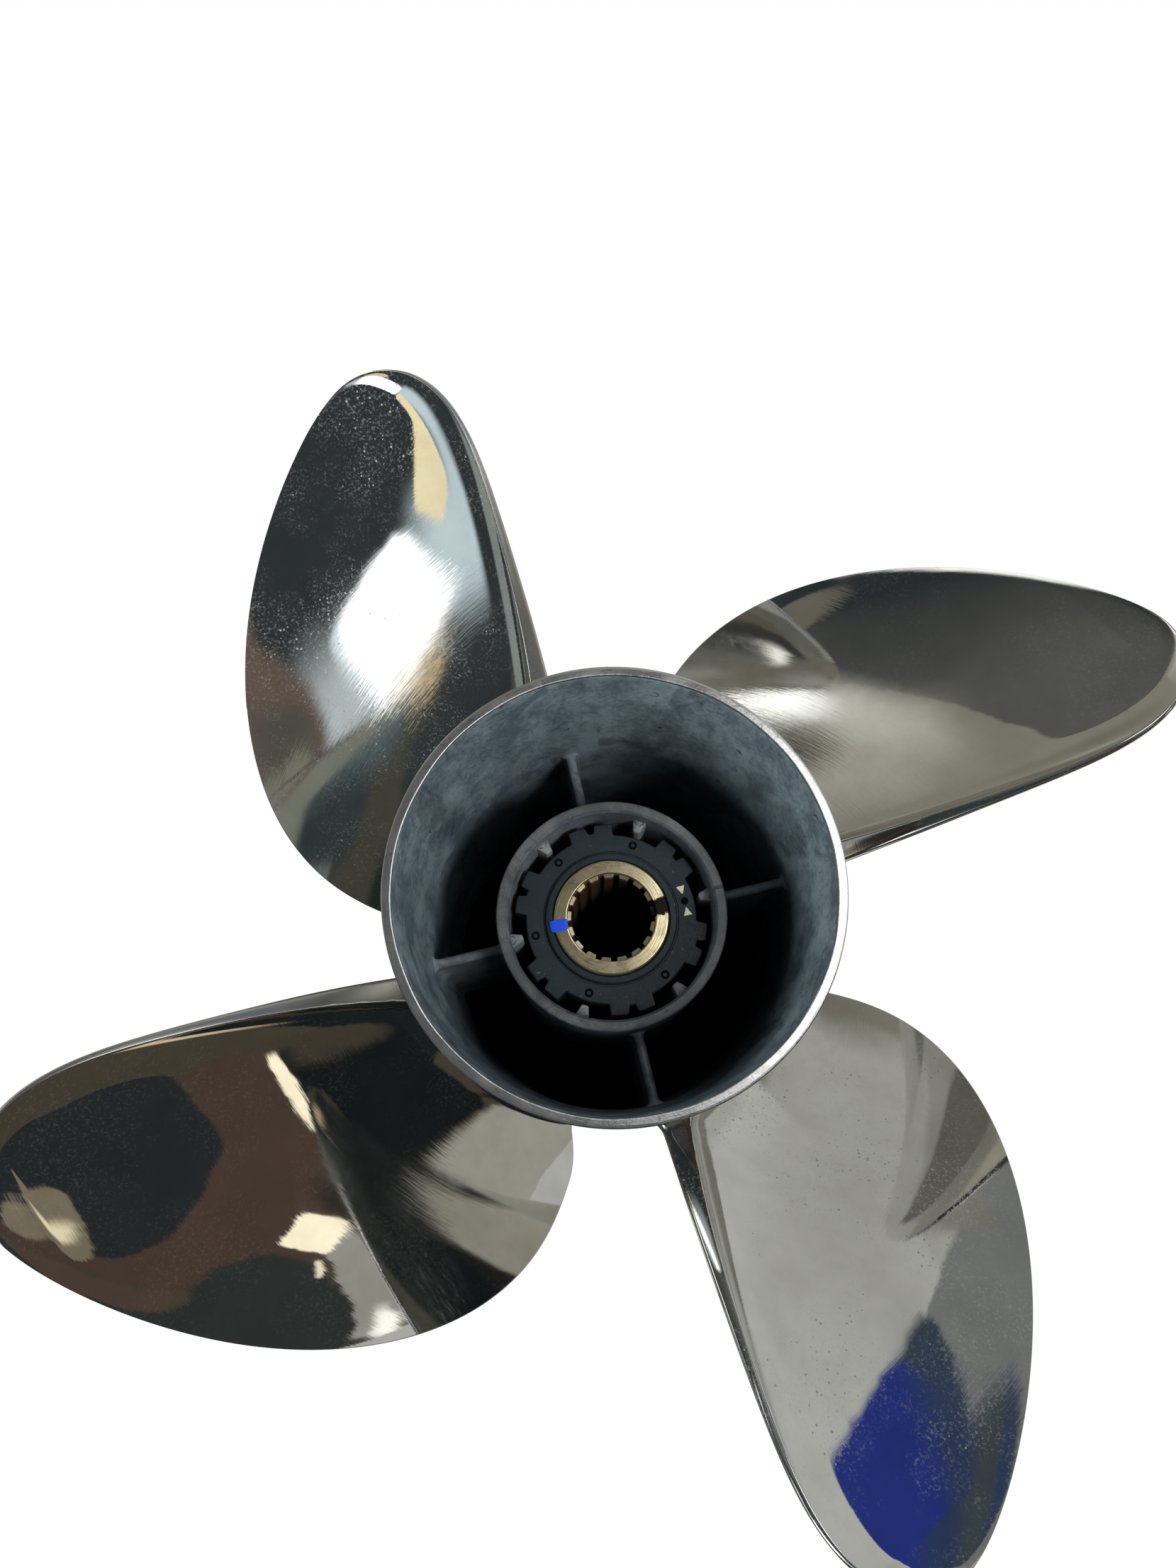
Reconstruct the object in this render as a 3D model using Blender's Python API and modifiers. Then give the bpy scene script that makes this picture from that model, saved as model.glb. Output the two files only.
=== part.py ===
"""Four-blade, left-hand, through-hub-exhaust stainless propeller with its torsional drive hub.

The frame is +Z aft (towards the open exhaust bell), with the origin at the centre of the
barrel's forward face, on which the propeller stands. Lengths are metres, angles are degrees
counter-clockwise as seen from aft.
"""

import math

import bmesh
import bpy
from mathutils import Matrix

MM = 0.001

# Running clearances
SEAT_GAP = 0.3 * MM          # between pieces that touch on the real propeller

# Barrel: a 4 3/4 inch hub that flares to a slightly wider aft rim
BARREL_LENGTH = 160.0 * MM
BARREL_RADIUS = 60.3 * MM
RIM_RADIUS = 61.75 * MM
BORE_RADIUS_FORWARD = 57.3 * MM
BORE_RADIUS_RIM = 58.8 * MM
FLARE_LENGTH = 38.0 * MM
FLARE_STEPS = 5
EDGE_ROUND = 0.6 * MM

# Inner tube, ribs and lugs, all of one casting with the barrel
TUBE_RADIUS = 35.05 * MM
TUBE_BORE_RADIUS = 31.5 * MM
TUBE_FORWARD = 8.0 * MM
TUBE_AFT = BARREL_LENGTH - 46.5 * MM
SHOULDER_AFT = 15.5 * MM
SHOULDER_RADIUS = 27.0 * MM
RIB_COUNT = 4
RIB_ANGLE = 13.4
RIB_THICKNESS = 3.0 * MM
RIB_FILLET = 3.5 * MM
RIB_FORWARD = 12.0 * MM
RIB_AFT = BARREL_LENGTH - 65.0 * MM
LUG_COUNT = 6
LUG_ANGLE = 13.3
LUG_TIP_RADIUS = 27.8 * MM
LUG_BASE_HALF_ANGLE = 4.1
LUG_TIP_HALF_ANGLE = 2.3
LUG_AFT = BARREL_LENGTH - 53.5 * MM

# Drive sleeve with six wide slots that the lugs swing in, and six narrow notches
SLEEVE_RADIUS = 29.9 * MM
SLEEVE_AFT = BARREL_LENGTH - 55.4 * MM
SLOT_RADIUS = 26.4 * MM
SLOT_HALF_ANGLE = 16.0
NOTCH_RADIUS = 27.4 * MM
NOTCH_HALF_ANGLE = 2.8
COLLAR_RADIUS = 20.5 * MM
COLLAR_HEIGHT = 1.3 * MM

# Bronze bush with its internal spline
BUSH_RADIUS = 17.8 * MM
BUSH_FORWARD = 12.0 * MM
BUSH_AFT = BARREL_LENGTH - 53.4 * MM
SPLINE_TEETH = 17
SPLINE_ANGLE = 30.0
SPLINE_ROOT_RADIUS = 13.4 * MM
SPLINE_TIP_RADIUS = 12.35 * MM
SPLINE_TIP_SHARE = 0.52      # of the tooth pitch
SPLINE_BASE_SHARE = 0.68

# Blade outline, seen from aft. Its measure runs from 0 at this radius to 1 at the tip.
BLADE_NAMES = ("blade_upper_left", "blade_lower_left", "blade_lower_right", "blade_upper_right")
BLADE_COUNT = len(BLADE_NAMES)
OUTLINE_ORIGIN = 60.0 * MM
TIP_RADIUS = 189.2 * MM
ROOT_RADIUS = BARREL_RADIUS + SEAT_GAP
MID_LINE = (143.3, -34.5, 101.9, -186.4, 92.7)     # degrees, powers of the measure
SPREAD = (59.6, 21.8, -4.4, -58.7, 18.0)           # degrees, powers of the measure
ROOT_TUCK = 7.0              # degrees that the leading edge turns back in at the root
TUCK_END = 0.18              # measure where that starts

# Blade face: a helicoid whose generating line is raked aft
PITCH = 527.0 * MM           # advance per turn, about 20 3/4 inches
FACE_ANGLE = 131.8           # where the rake line is measured
FACE_HEIGHT = BARREL_LENGTH - 101.6 * MM           # at the rake line's start
RAKE_START = 61.75 * MM
RAKE_SLOPE = 0.60
RAKE_CURVE = -1.37           # per metre
CAMBER_SHARE = 0.022         # of the chord
CUP_DEPTH = 2.6 * MM         # that the trailing edge curls aft
CUP_LENGTH = 12.0 * MM
FULL_CUP_CHORD = 60.0 * MM   # a shorter section has a smaller cup

# Blade thickness, laid on the forward side of the face
ROOT_THICKNESS = 11.5 * MM
TIP_THICKNESS = 2.4 * MM
THINNING_POWER = 0.8
TRAILING_TIP = 2.0 * MM
TRAILING_GAIN = 8.4 * MM     # more than that, at the outline's origin
TRAILING_FADE = 36.0 * MM
TRAILING_BEVEL = 10.0        # degrees that the trailing face leans, beyond the cup's own slope
LEADING_THICKNESS = 1.6 * MM
LEADING_ROUND_SHARE = 0.1    # of the chord, where the back turns down to the leading edge
LEADING_BLUNTNESS = 0.25
ROOT_FILLET = 7.0 * MM
LEADING_FILLET_SHARE = 0.5   # of the root fillet, at the leading edge
ROOT_OVERRUN = 3.0 * MM      # inside the root radius, before the root is cut round

# Facets
BARREL_STEPS = 80
TUBE_STEPS = 72
CHORD_STEPS = 13
SPAN_STEPS = 12
FILLET_STEPS = 3
FILLET_STATIONS = (0.2, 0.5)  # shares of the root fillet
LAST_STATION = 87.0          # degrees of the quarter turn that spaces the stations
ARC_STEP = 5.0               # degrees
SMOOTH_ANGLE = 35.0          # degrees
WELD = 0.01 * MM


def clear_scene():
    for old in list(bpy.data.objects):
        bpy.data.objects.remove(old, do_unlink=True)


def make_material(name, color, roughness, metallic):
    material = bpy.data.materials.new(name)
    material.use_nodes = True
    shader = material.node_tree.nodes["Principled BSDF"]
    shader.inputs["Base Color"].default_value = (*color, 1.0)
    shader.inputs["Roughness"].default_value = roughness
    shader.inputs["Metallic"].default_value = metallic
    return material


def add_object(name, mesh, collection, material):
    obj = bpy.data.objects.new(name, mesh)
    collection.objects.link(obj)
    mesh.materials.append(material)
    mesh.shade_smooth()
    mesh.set_sharp_from_angle(angle=math.radians(SMOOTH_ANGLE))
    return obj


def polar(radius, degrees):
    return (radius * math.cos(math.radians(degrees)), radius * math.sin(math.radians(degrees)))


# Shapes from an outline: turned rings and straight prisms

def turned(name, profile, steps, collection, material):
    """A closed (radius, height) profile, outer side first from top to bottom, turned about Z."""
    mesh = bpy.data.meshes.new(name)
    count = len(profile)
    points = [(radius, 0.0, height) for radius, height in profile]
    mesh.from_pydata(points, [(i, (i + 1) % count) for i in range(count)], [])
    obj = add_object(name, mesh, collection, material)
    screw = obj.modifiers.new("turn", "SCREW")
    screw.angle = 2 * math.pi
    screw.steps = steps
    screw.render_steps = steps
    screw.use_merge_vertices = True
    screw.merge_threshold = WELD
    screw.use_smooth_shade = True
    return obj


def prism(name, loops, bottom, top, collection, material):
    """A flat outline with holes, as a filled curve, raised between two heights."""
    curve = bpy.data.curves.new(name, "CURVE")
    curve.dimensions = "2D"
    curve.fill_mode = "BOTH"
    curve.extrude = (top - bottom) / 2
    for loop in loops:
        spline = curve.splines.new("POLY")
        spline.points.add(len(loop) - 1)
        for point, (x, y) in zip(spline.points, loop):
            point.co = (x, y, 0.0, 1.0)
        spline.use_cyclic_u = True
    guide = bpy.data.objects.new(name + "_outline", curve)
    bpy.context.scene.collection.objects.link(guide)
    bpy.context.view_layer.update()
    evaluated = guide.evaluated_get(bpy.context.evaluated_depsgraph_get())
    mesh = bpy.data.meshes.new_from_object(evaluated)
    bpy.data.objects.remove(guide, do_unlink=True)
    mesh.name = name
    mesh.transform(Matrix.Translation((0.0, 0.0, (top + bottom) / 2)))
    shape = bmesh.new()
    shape.from_mesh(mesh)
    bmesh.ops.remove_doubles(shape, verts=shape.verts, dist=WELD)
    bmesh.ops.recalc_face_normals(shape, faces=shape.faces)
    shape.to_mesh(mesh)
    shape.free()
    return add_object(name, mesh, collection, material)


def circle(radius, steps):
    return [polar(radius, 360.0 * i / steps) for i in range(steps)]


# Hub casting

def make_barrel(collection, material):
    flare = []
    for i in range(FLARE_STEPS + 1):
        share = i / FLARE_STEPS
        wider = (RIM_RADIUS - BARREL_RADIUS) * (1 - share) ** 2
        flare.append((BARREL_RADIUS + wider, BARREL_LENGTH - EDGE_ROUND - share * FLARE_LENGTH))
    profile = [(RIM_RADIUS - EDGE_ROUND, BARREL_LENGTH)]
    profile += flare
    profile += [
        (BARREL_RADIUS, EDGE_ROUND),
        (BARREL_RADIUS - EDGE_ROUND, 0.0),
        (BORE_RADIUS_FORWARD + EDGE_ROUND, 0.0),
        (BORE_RADIUS_FORWARD, EDGE_ROUND),
        (BORE_RADIUS_FORWARD, RIB_AFT),
        (BORE_RADIUS_RIM, BARREL_LENGTH - EDGE_ROUND),
        (BORE_RADIUS_RIM + EDGE_ROUND / 2, BARREL_LENGTH),
    ]
    return turned("exhaust_barrel", profile, BARREL_STEPS, collection, material)


def make_tube(collection, material):
    profile = [
        (TUBE_RADIUS - EDGE_ROUND, TUBE_AFT),
        (TUBE_RADIUS, TUBE_AFT - EDGE_ROUND),
        (TUBE_RADIUS, TUBE_FORWARD + EDGE_ROUND),
        (TUBE_RADIUS - EDGE_ROUND, TUBE_FORWARD),
        (SHOULDER_RADIUS, TUBE_FORWARD),
        (SHOULDER_RADIUS, SHOULDER_AFT),
        (TUBE_BORE_RADIUS, SHOULDER_AFT),
        (TUBE_BORE_RADIUS, TUBE_AFT - EDGE_ROUND),
        (TUBE_BORE_RADIUS + EDGE_ROUND, TUBE_AFT),
    ]
    return turned("inner_hub_tube", profile, TUBE_STEPS, collection, material)


def rib_side(start, end, sign):
    """One long side of a rib seen from aft, with a quarter-round fillet at each end."""
    half = RIB_THICKNESS / 2
    swings = [math.pi / 2 * i / FILLET_STEPS for i in range(FILLET_STEPS + 1)]
    rounding = [(RIB_FILLET * (1 - math.cos(a)), RIB_FILLET * (1 - math.sin(a))) for a in swings]
    side = [(start + along, half + across) for along, across in rounding]
    side += [(end - along, half + across) for along, across in reversed(rounding)]
    return [(x, sign * y) for x, y in side]


def make_rib(index, collection, material):
    start = TUBE_RADIUS + SEAT_GAP
    end = BORE_RADIUS_FORWARD - SEAT_GAP
    corner = math.sqrt(end ** 2 - (RIB_THICKNESS / 2 + RIB_FILLET) ** 2)
    outline = rib_side(start, corner, -1) + [(end, 0.0)] + rib_side(start, corner, 1)[::-1]
    rib = prism(f"exhaust_rib_{index + 1}", [outline], RIB_FORWARD, RIB_AFT, collection, material)
    rib.rotation_euler.z = math.radians(RIB_ANGLE + 360.0 / RIB_COUNT * index)
    return rib


def make_lug(index, collection, material):
    base = TUBE_BORE_RADIUS - SEAT_GAP
    outline = [
        polar(LUG_TIP_RADIUS, -LUG_TIP_HALF_ANGLE),
        polar(base, -LUG_BASE_HALF_ANGLE),
        polar(base, 0.0),
        polar(base, LUG_BASE_HALF_ANGLE),
        polar(LUG_TIP_RADIUS, LUG_TIP_HALF_ANGLE),
    ]
    lug = prism(f"drive_lug_{index + 1}", [outline], SHOULDER_AFT + SEAT_GAP, LUG_AFT,
                collection, material)
    lug.rotation_euler.z = math.radians(LUG_ANGLE + 360.0 / LUG_COUNT * index)
    return lug


# Drive hub

def arc(radius, start, end):
    count = max(1, math.ceil((end - start) / ARC_STEP))
    return [polar(radius, start + (end - start) * i / count) for i in range(count + 1)]


def make_sleeve(collection, cutters, material):
    outline = []
    for i in range(LUG_COUNT):
        lug = LUG_ANGLE + 360.0 / LUG_COUNT * i
        notch = lug + 180.0 / LUG_COUNT
        next_lug = lug + 360.0 / LUG_COUNT
        outline += arc(SLOT_RADIUS, lug - SLOT_HALF_ANGLE, lug + SLOT_HALF_ANGLE)
        outline += arc(SLEEVE_RADIUS, lug + SLOT_HALF_ANGLE, notch - NOTCH_HALF_ANGLE)
        outline += arc(NOTCH_RADIUS, notch - NOTCH_HALF_ANGLE, notch + NOTCH_HALF_ANGLE)
        outline += arc(SLEEVE_RADIUS, notch + NOTCH_HALF_ANGLE, next_lug - SLOT_HALF_ANGLE)
    bore = circle(BUSH_RADIUS + SEAT_GAP, TUBE_STEPS)
    sleeve = prism("hub_insert", [outline, bore], SHOULDER_AFT + SEAT_GAP, SLEEVE_AFT,
                   collection, material)
    bore_radius = BUSH_RADIUS + SEAT_GAP
    profile = [
        (COLLAR_RADIUS - COLLAR_HEIGHT / 2, SLEEVE_AFT + COLLAR_HEIGHT),
        (COLLAR_RADIUS, SLEEVE_AFT + COLLAR_HEIGHT / 2),
        (COLLAR_RADIUS, SLEEVE_AFT - COLLAR_HEIGHT),
        (bore_radius + EDGE_ROUND, SLEEVE_AFT - COLLAR_HEIGHT),
        (bore_radius + EDGE_ROUND, SLEEVE_AFT + COLLAR_HEIGHT),
    ]
    collar = turned("collar_shape", profile, TUBE_STEPS, cutters, material)
    collar.hide_render = True
    collar.display_type = "WIRE"
    union = sleeve.modifiers.new("collar", "BOOLEAN")
    union.operation = "UNION"
    union.solver = "EXACT"
    union.object = collar
    return sleeve


def make_bush(collection, material):
    pitch = 360.0 / SPLINE_TEETH
    base = pitch * SPLINE_BASE_SHARE / 2
    tip = pitch * SPLINE_TIP_SHARE / 2
    spline = []
    for i in range(SPLINE_TEETH):
        middle = SPLINE_ANGLE + pitch * i
        spline.append(polar(SPLINE_ROOT_RADIUS, middle - base))
        spline.append(polar(SPLINE_TIP_RADIUS, middle - tip))
        spline.append(polar(SPLINE_TIP_RADIUS, middle + tip))
        spline.append(polar(SPLINE_ROOT_RADIUS, middle + base))
    outside = circle(BUSH_RADIUS, TUBE_STEPS)
    return prism("spline_bush", [outside, spline], BUSH_FORWARD, BUSH_AFT, collection, material)


# Blades

def powers(coefficients, measure):
    return sum(value * measure ** i for i, value in enumerate(coefficients))


def face_height(radius, degrees):
    """Height of the pressure face: a left-hand helicoid that falls as the angle grows."""
    out = radius - RAKE_START
    turn = (degrees - FACE_ANGLE) / 360.0
    return FACE_HEIGHT + RAKE_SLOPE * out + RAKE_CURVE * out ** 2 - PITCH * turn


def section_span(measure):
    """The middle angle and the half width of the outline at this measure."""
    tuck = ROOT_TUCK * max(0.0, 1 - measure / TUCK_END) ** 2
    half = powers(SPREAD, measure) / 2 * math.sqrt(1 - measure ** 2)
    return powers(MID_LINE, measure) - tuck / 2, half - tuck / 2


def root_fillet(radius):
    """How far the root fillet stands off the blade's surface at this radius."""
    inside = min(ROOT_FILLET, max(0.0, ROOT_FILLET - (radius - ROOT_RADIUS)))
    return ROOT_FILLET - math.sqrt(ROOT_FILLET ** 2 - inside ** 2)


def section_thickness(measure, share):
    """Thickness at a share of the chord from the trailing edge, square to the face."""
    trailing = TRAILING_TIP + TRAILING_GAIN * math.exp(
        -measure * (TIP_RADIUS - OUTLINE_ORIGIN) / TRAILING_FADE)
    inner = max(0.0, measure) ** THINNING_POWER
    thickest = ROOT_THICKNESS + (TIP_THICKNESS - ROOT_THICKNESS) * inner
    ramp = trailing + (LEADING_THICKNESS - trailing) * share
    bulge = max(0.0, thickest - (trailing + LEADING_THICKNESS) / 2) * 4 * share * (1 - share)
    past = max(0.0, (share - 1 + LEADING_ROUND_SHARE) / LEADING_ROUND_SHARE)
    rounding = math.sqrt(max(0.0, 1 - past ** 2))
    return (ramp + bulge) * (LEADING_BLUNTNESS + (1 - LEADING_BLUNTNESS) * rounding)


def moved(point, climb, along, forward):
    """A point carried along the chord and forward of the face, on its own cylinder."""
    radius, degrees, height = point
    turn = (along * math.cos(climb) - forward * math.sin(climb)) / radius
    drop = along * math.sin(climb) + forward * math.cos(climb)
    return (radius, degrees + math.degrees(turn), height - drop)


def section(measure, radius):
    """The loop of points of one blade section, from the trailing edge round to it again."""
    middle, half = section_span(measure)
    climb = math.atan2(PITCH, 2 * math.pi * radius)
    chord = 2 * math.radians(half) * radius / math.cos(climb)
    cup = CUP_DEPTH * min(1.0, chord / FULL_CUP_CHORD)
    full_lean = math.atan(2 * cup / CUP_LENGTH) + math.radians(TRAILING_BEVEL)
    fillet = root_fillet(radius)
    face, back = [], []
    for i in range(CHORD_STEPS + 1):
        share = (1 - math.cos(math.pi * i / CHORD_STEPS)) / 2
        inside = max(0.0, 1 - share * chord / CUP_LENGTH)
        hollow = CAMBER_SHARE * chord * 4 * share * (1 - share)
        hollow += cup * (1 - inside ** 2) * (1 - share)
        lean = full_lean * inside
        stand_off = fillet * (1 + (LEADING_FILLET_SHARE - 1) * share ** 4)
        depth = section_thickness(measure, share) + stand_off
        degrees = middle - half + 2 * half * share
        surface = moved((radius, degrees, face_height(radius, degrees)), climb, 0.0, hollow)
        face.append(moved(surface, climb, stand_off * math.sin(lean), -stand_off * math.cos(lean)))
        back.append(moved(surface, climb, -depth * math.sin(lean), depth * math.cos(lean)))
    for points in (face, back):
        points[0] = moved(points[0], climb, -fillet, 0.0)
        points[-1] = moved(points[-1], climb, fillet * LEADING_FILLET_SHARE, 0.0)
    return face + back[::-1]


def span_stations():
    """Radii from the root to the tip, closer together in the root fillet and at the tip."""
    fillet_radii = [ROOT_RADIUS + ROOT_FILLET * share for share in FILLET_STATIONS]
    reach = TIP_RADIUS - OUTLINE_ORIGIN
    first = math.asin((ROOT_RADIUS + ROOT_FILLET - OUTLINE_ORIGIN) / reach)
    last = math.radians(LAST_STATION)
    swings = [first + (last - first) * i / SPAN_STEPS for i in range(SPAN_STEPS + 1)]
    outer = [OUTLINE_ORIGIN + reach * math.sin(swing) for swing in swings]
    return [ROOT_RADIUS - ROOT_OVERRUN] + fillet_radii + outer


def make_blade_mesh():
    shape = bmesh.new()
    loops = []
    for radius in span_stations():
        measure = (radius - OUTLINE_ORIGIN) / (TIP_RADIUS - OUTLINE_ORIGIN)
        loop = []
        for reach, degrees, height in section(measure, radius):
            loop.append(shape.verts.new((*polar(reach, degrees), height)))
        loops.append(loop)
    count = len(loops[0])
    for inner, outer in zip(loops, loops[1:]):
        for i in range(count):
            j = (i + 1) % count
            shape.faces.new((inner[i], inner[j], outer[j], outer[i]))
    for loop in (loops[0], loops[-1]):
        for i in range(CHORD_STEPS):
            across = count - 1 - i
            shape.faces.new((loop[i], loop[i + 1], loop[across - 1], loop[across]))
    bmesh.ops.remove_doubles(shape, verts=shape.verts, dist=WELD)
    bmesh.ops.recalc_face_normals(shape, faces=shape.faces)
    bmesh.ops.triangulate(shape, faces=shape.faces)
    mesh = bpy.data.meshes.new("blade")
    shape.to_mesh(mesh)
    shape.free()
    return mesh


def make_root_cutter(cutters):
    """The barrel's outside, with the seat gap, that ends every blade's root."""
    bpy.ops.mesh.primitive_cylinder_add(vertices=BARREL_STEPS, radius=ROOT_RADIUS,
                                        depth=4 * BARREL_LENGTH)
    cutter = bpy.context.object
    cutter.name = "root_cutter"
    for home in list(cutter.users_collection):
        home.objects.unlink(cutter)
    cutters.objects.link(cutter)
    cutter.hide_render = True
    cutter.display_type = "WIRE"
    return cutter


def make_blades(collection, cutters, material):
    """Four copies of one blade, each with its root cut to the barrel's round."""
    cutter = make_root_cutter(cutters)
    mesh = make_blade_mesh()
    mesh.materials.append(material)
    mesh.shade_smooth()
    mesh.set_sharp_from_angle(angle=math.radians(SMOOTH_ANGLE))
    for i, name in enumerate(BLADE_NAMES):
        blade = bpy.data.objects.new(name, mesh)
        collection.objects.link(blade)
        blade.rotation_euler.z = math.radians(360.0 / BLADE_COUNT * i)
        cut = blade.modifiers.new("root", "BOOLEAN")
        cut.operation = "DIFFERENCE"
        cut.solver = "EXACT"
        cut.object = cutter


def main():
    clear_scene()
    scene = bpy.context.scene
    collection = bpy.data.collections.new("propeller")
    cutters = bpy.data.collections.new("cutters")
    cutters.hide_render = True
    scene.collection.children.link(collection)
    scene.collection.children.link(cutters)
    polished = make_material("polished_stainless", (0.72, 0.70, 0.67), 0.08, 1.0)
    cast = make_material("cast_stainless", (0.30, 0.33, 0.37), 0.45, 1.0)
    composite = make_material("black_composite", (0.012, 0.014, 0.018), 0.5, 0.0)
    bronze = make_material("bronze", (0.62, 0.45, 0.24), 0.3, 1.0)
    make_barrel(collection, cast)
    make_blades(collection, cutters, polished)
    make_tube(collection, cast)
    for i in range(RIB_COUNT):
        make_rib(i, collection, cast)
    for i in range(LUG_COUNT):
        make_lug(i, collection, cast)
    make_sleeve(collection, cutters, composite)
    make_bush(collection, bronze)


main()
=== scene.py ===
"""Looks of the four-blade, left-hand, through-hub-exhaust stainless propeller.

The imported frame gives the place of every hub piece. The blades' surfaces are worked out from the
same outline, pitch and thickness rules as the solids, with many more facets. The room that the
polished steel mirrors is a world of soft panels, each placed by its azimuth and elevation.
"""

import math

import bmesh
import bpy
import numpy as np
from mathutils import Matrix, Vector


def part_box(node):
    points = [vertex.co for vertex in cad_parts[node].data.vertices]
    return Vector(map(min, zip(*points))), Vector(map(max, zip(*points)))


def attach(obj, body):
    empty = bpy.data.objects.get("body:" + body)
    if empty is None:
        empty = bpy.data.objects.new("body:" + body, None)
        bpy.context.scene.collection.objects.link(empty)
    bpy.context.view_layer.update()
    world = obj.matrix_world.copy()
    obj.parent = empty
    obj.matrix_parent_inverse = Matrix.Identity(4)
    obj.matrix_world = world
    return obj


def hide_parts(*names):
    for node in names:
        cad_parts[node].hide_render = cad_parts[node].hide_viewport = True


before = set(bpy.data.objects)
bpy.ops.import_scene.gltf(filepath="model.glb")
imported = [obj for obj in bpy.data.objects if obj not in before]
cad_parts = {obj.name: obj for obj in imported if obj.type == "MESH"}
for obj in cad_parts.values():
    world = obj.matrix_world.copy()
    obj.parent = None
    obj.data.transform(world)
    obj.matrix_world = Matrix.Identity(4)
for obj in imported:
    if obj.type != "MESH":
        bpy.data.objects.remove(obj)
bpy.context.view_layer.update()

MM = 0.001
CASTING = "casting"
DRIVE_HUB = "drive_hub"

# Heights and radii read from the frame
BARREL_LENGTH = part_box("exhaust_barrel")[1].z
RIM_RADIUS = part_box("exhaust_barrel")[1].x
TUBE_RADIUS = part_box("inner_hub_tube")[1].x
BUSH_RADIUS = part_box("spline_bush")[1].x
TUBE_FORWARD, TUBE_AFT = (corner.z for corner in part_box("inner_hub_tube"))
RIB_FORWARD, RIB_AFT = (corner.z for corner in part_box("exhaust_rib_1"))
LUG_FORWARD, LUG_AFT = (corner.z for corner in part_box("drive_lug_1"))
SLEEVE_FORWARD, COLLAR_TOP = (corner.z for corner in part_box("hub_insert"))
BUSH_FORWARD, BUSH_AFT = (corner.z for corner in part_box("spline_bush"))

# Hub sizes that the frame doesn't state
BARREL_RADIUS = 60.3 * MM
BORE_RADIUS = 57.3 * MM
BORE_RADIUS_RIM = 58.8 * MM
FLARE_LENGTH = 38 * MM
RIM_ROUND = 0.5 * MM
BELL_START = 1.5 * MM        # aft of the ribs
BELL_STEP = 0.35 * MM        # by which the bore widens there
TUBE_BORE_RADIUS = 31.5 * MM
SHOULDER_RADIUS = 27 * MM
SHOULDER_AFT = 15.5 * MM
SAW_CUT = (13.4, 14.4)       # degrees, across the tube's aft face
SAW_DEPTH = 0.5 * MM
RIB_COUNT = 4
RIB_ANGLE = 13.4
RIB_THICKNESS = 3 * MM
RIB_FILLET = 2 * MM
LUG_COUNT = 6
LUG_ANGLE = 13.3
LUG_TIP_RADIUS = 27.8 * MM
LUG_BASE_HALF_ANGLE = 4.1
LUG_TIP_HALF_ANGLE = 2.3
LUG_ROUND = 0.7 * MM
LUG_OVERRUN = 0.35 * MM      # into the tube's wall
SLEEVE_RADIUS = 29.9 * MM
SLOT_RADIUS = 26.4 * MM
SLOT_HALF_ANGLE = 16
NOTCH_RADIUS = 27.4 * MM
NOTCH_HALF_ANGLE = 2.8
SLOT_BLEND = 2               # degrees over which a slot's side falls
NOTCH_BLEND = 1.9
NOTCH_LEAD = 0.6             # degrees by which a notch's side starts early
COLLAR_RADIUS = 20.5 * MM
COLLAR_HEIGHT = 1.3 * MM
SPLINE_TEETH = 17
SPLINE_ANGLE = 30
SPLINE_ROOT_RADIUS = 13.4 * MM
SPLINE_TIP_RADIUS = 12.35 * MM
SPLINE_TIP_SHARE = 0.52
SPLINE_BASE_SHARE = 0.68

# Blade outline and face, as in the solids
OUTLINE_ORIGIN = 60 * MM
TIP_RADIUS = 189.2 * MM
MID_LINE = (143.3, -34.5, 101.9, -186.4, 92.7)
SPREAD = (59.6, 21.8, -4.4, -58.7, 18)
ROOT_TUCK = 7
TUCK_END = 0.18
PITCH = 527 * MM
FACE_ANGLE = 131.8
FACE_HEIGHT = BARREL_LENGTH - 101.6 * MM
RAKE_START = 61.75 * MM
RAKE_SLOPE = 0.60
RAKE_CURVE = -1.37
CAMBER_SHARE = 0.022
CUP_DEPTH = 2.6 * MM
CUP_LENGTH = 12 * MM
FULL_CUP_CHORD = 60 * MM
ROOT_THICKNESS = 11.5 * MM
TIP_THICKNESS = 2.4 * MM
THINNING_POWER = 0.8
TRAILING_TIP = 2 * MM
TRAILING_GAIN = 8.4 * MM
TRAILING_FADE = 36 * MM
TRAILING_BEVEL = 10
LEADING_THICKNESS = 1.6 * MM
ROOT_FILLET = 7 * MM
LEADING_FILLET_SHARE = 0.5

# Blade surface detail
CHAMFER_SHADE = (0.8, 0.2)   # of the trailing face's roughness, where its two corners start
FACE_POINTS = 72
CORNER_POINTS = 6
STRIP_POINTS = 6
CAP_POINTS = 10
SPAN_ROWS = 120
FILLET_ROWS = 11
PRESSURE_CORNER = 0.4 * MM
SUCTION_CORNER = 1.6 * MM
STRIP_BULGE = 0.25 * MM
TIP_ROUND_FROM = 0.985       # of the span, where the tip starts to round off
LEAST_HALF_SPREAD = 0.0001   # degrees
LEAST_THICKNESS_SHARE = 0.001
LONGEST_TRIM = 0.25          # of the trailing face, for its corner on the pressure side
LONGEST_BLUNT = 0.4          # and on the suction side
CORNER_CLEAR = 1.05          # of a corner's size, where the plain surface starts
ROOT_OVERRUN = 1.2 * MM      # into the barrel's wall

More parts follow.
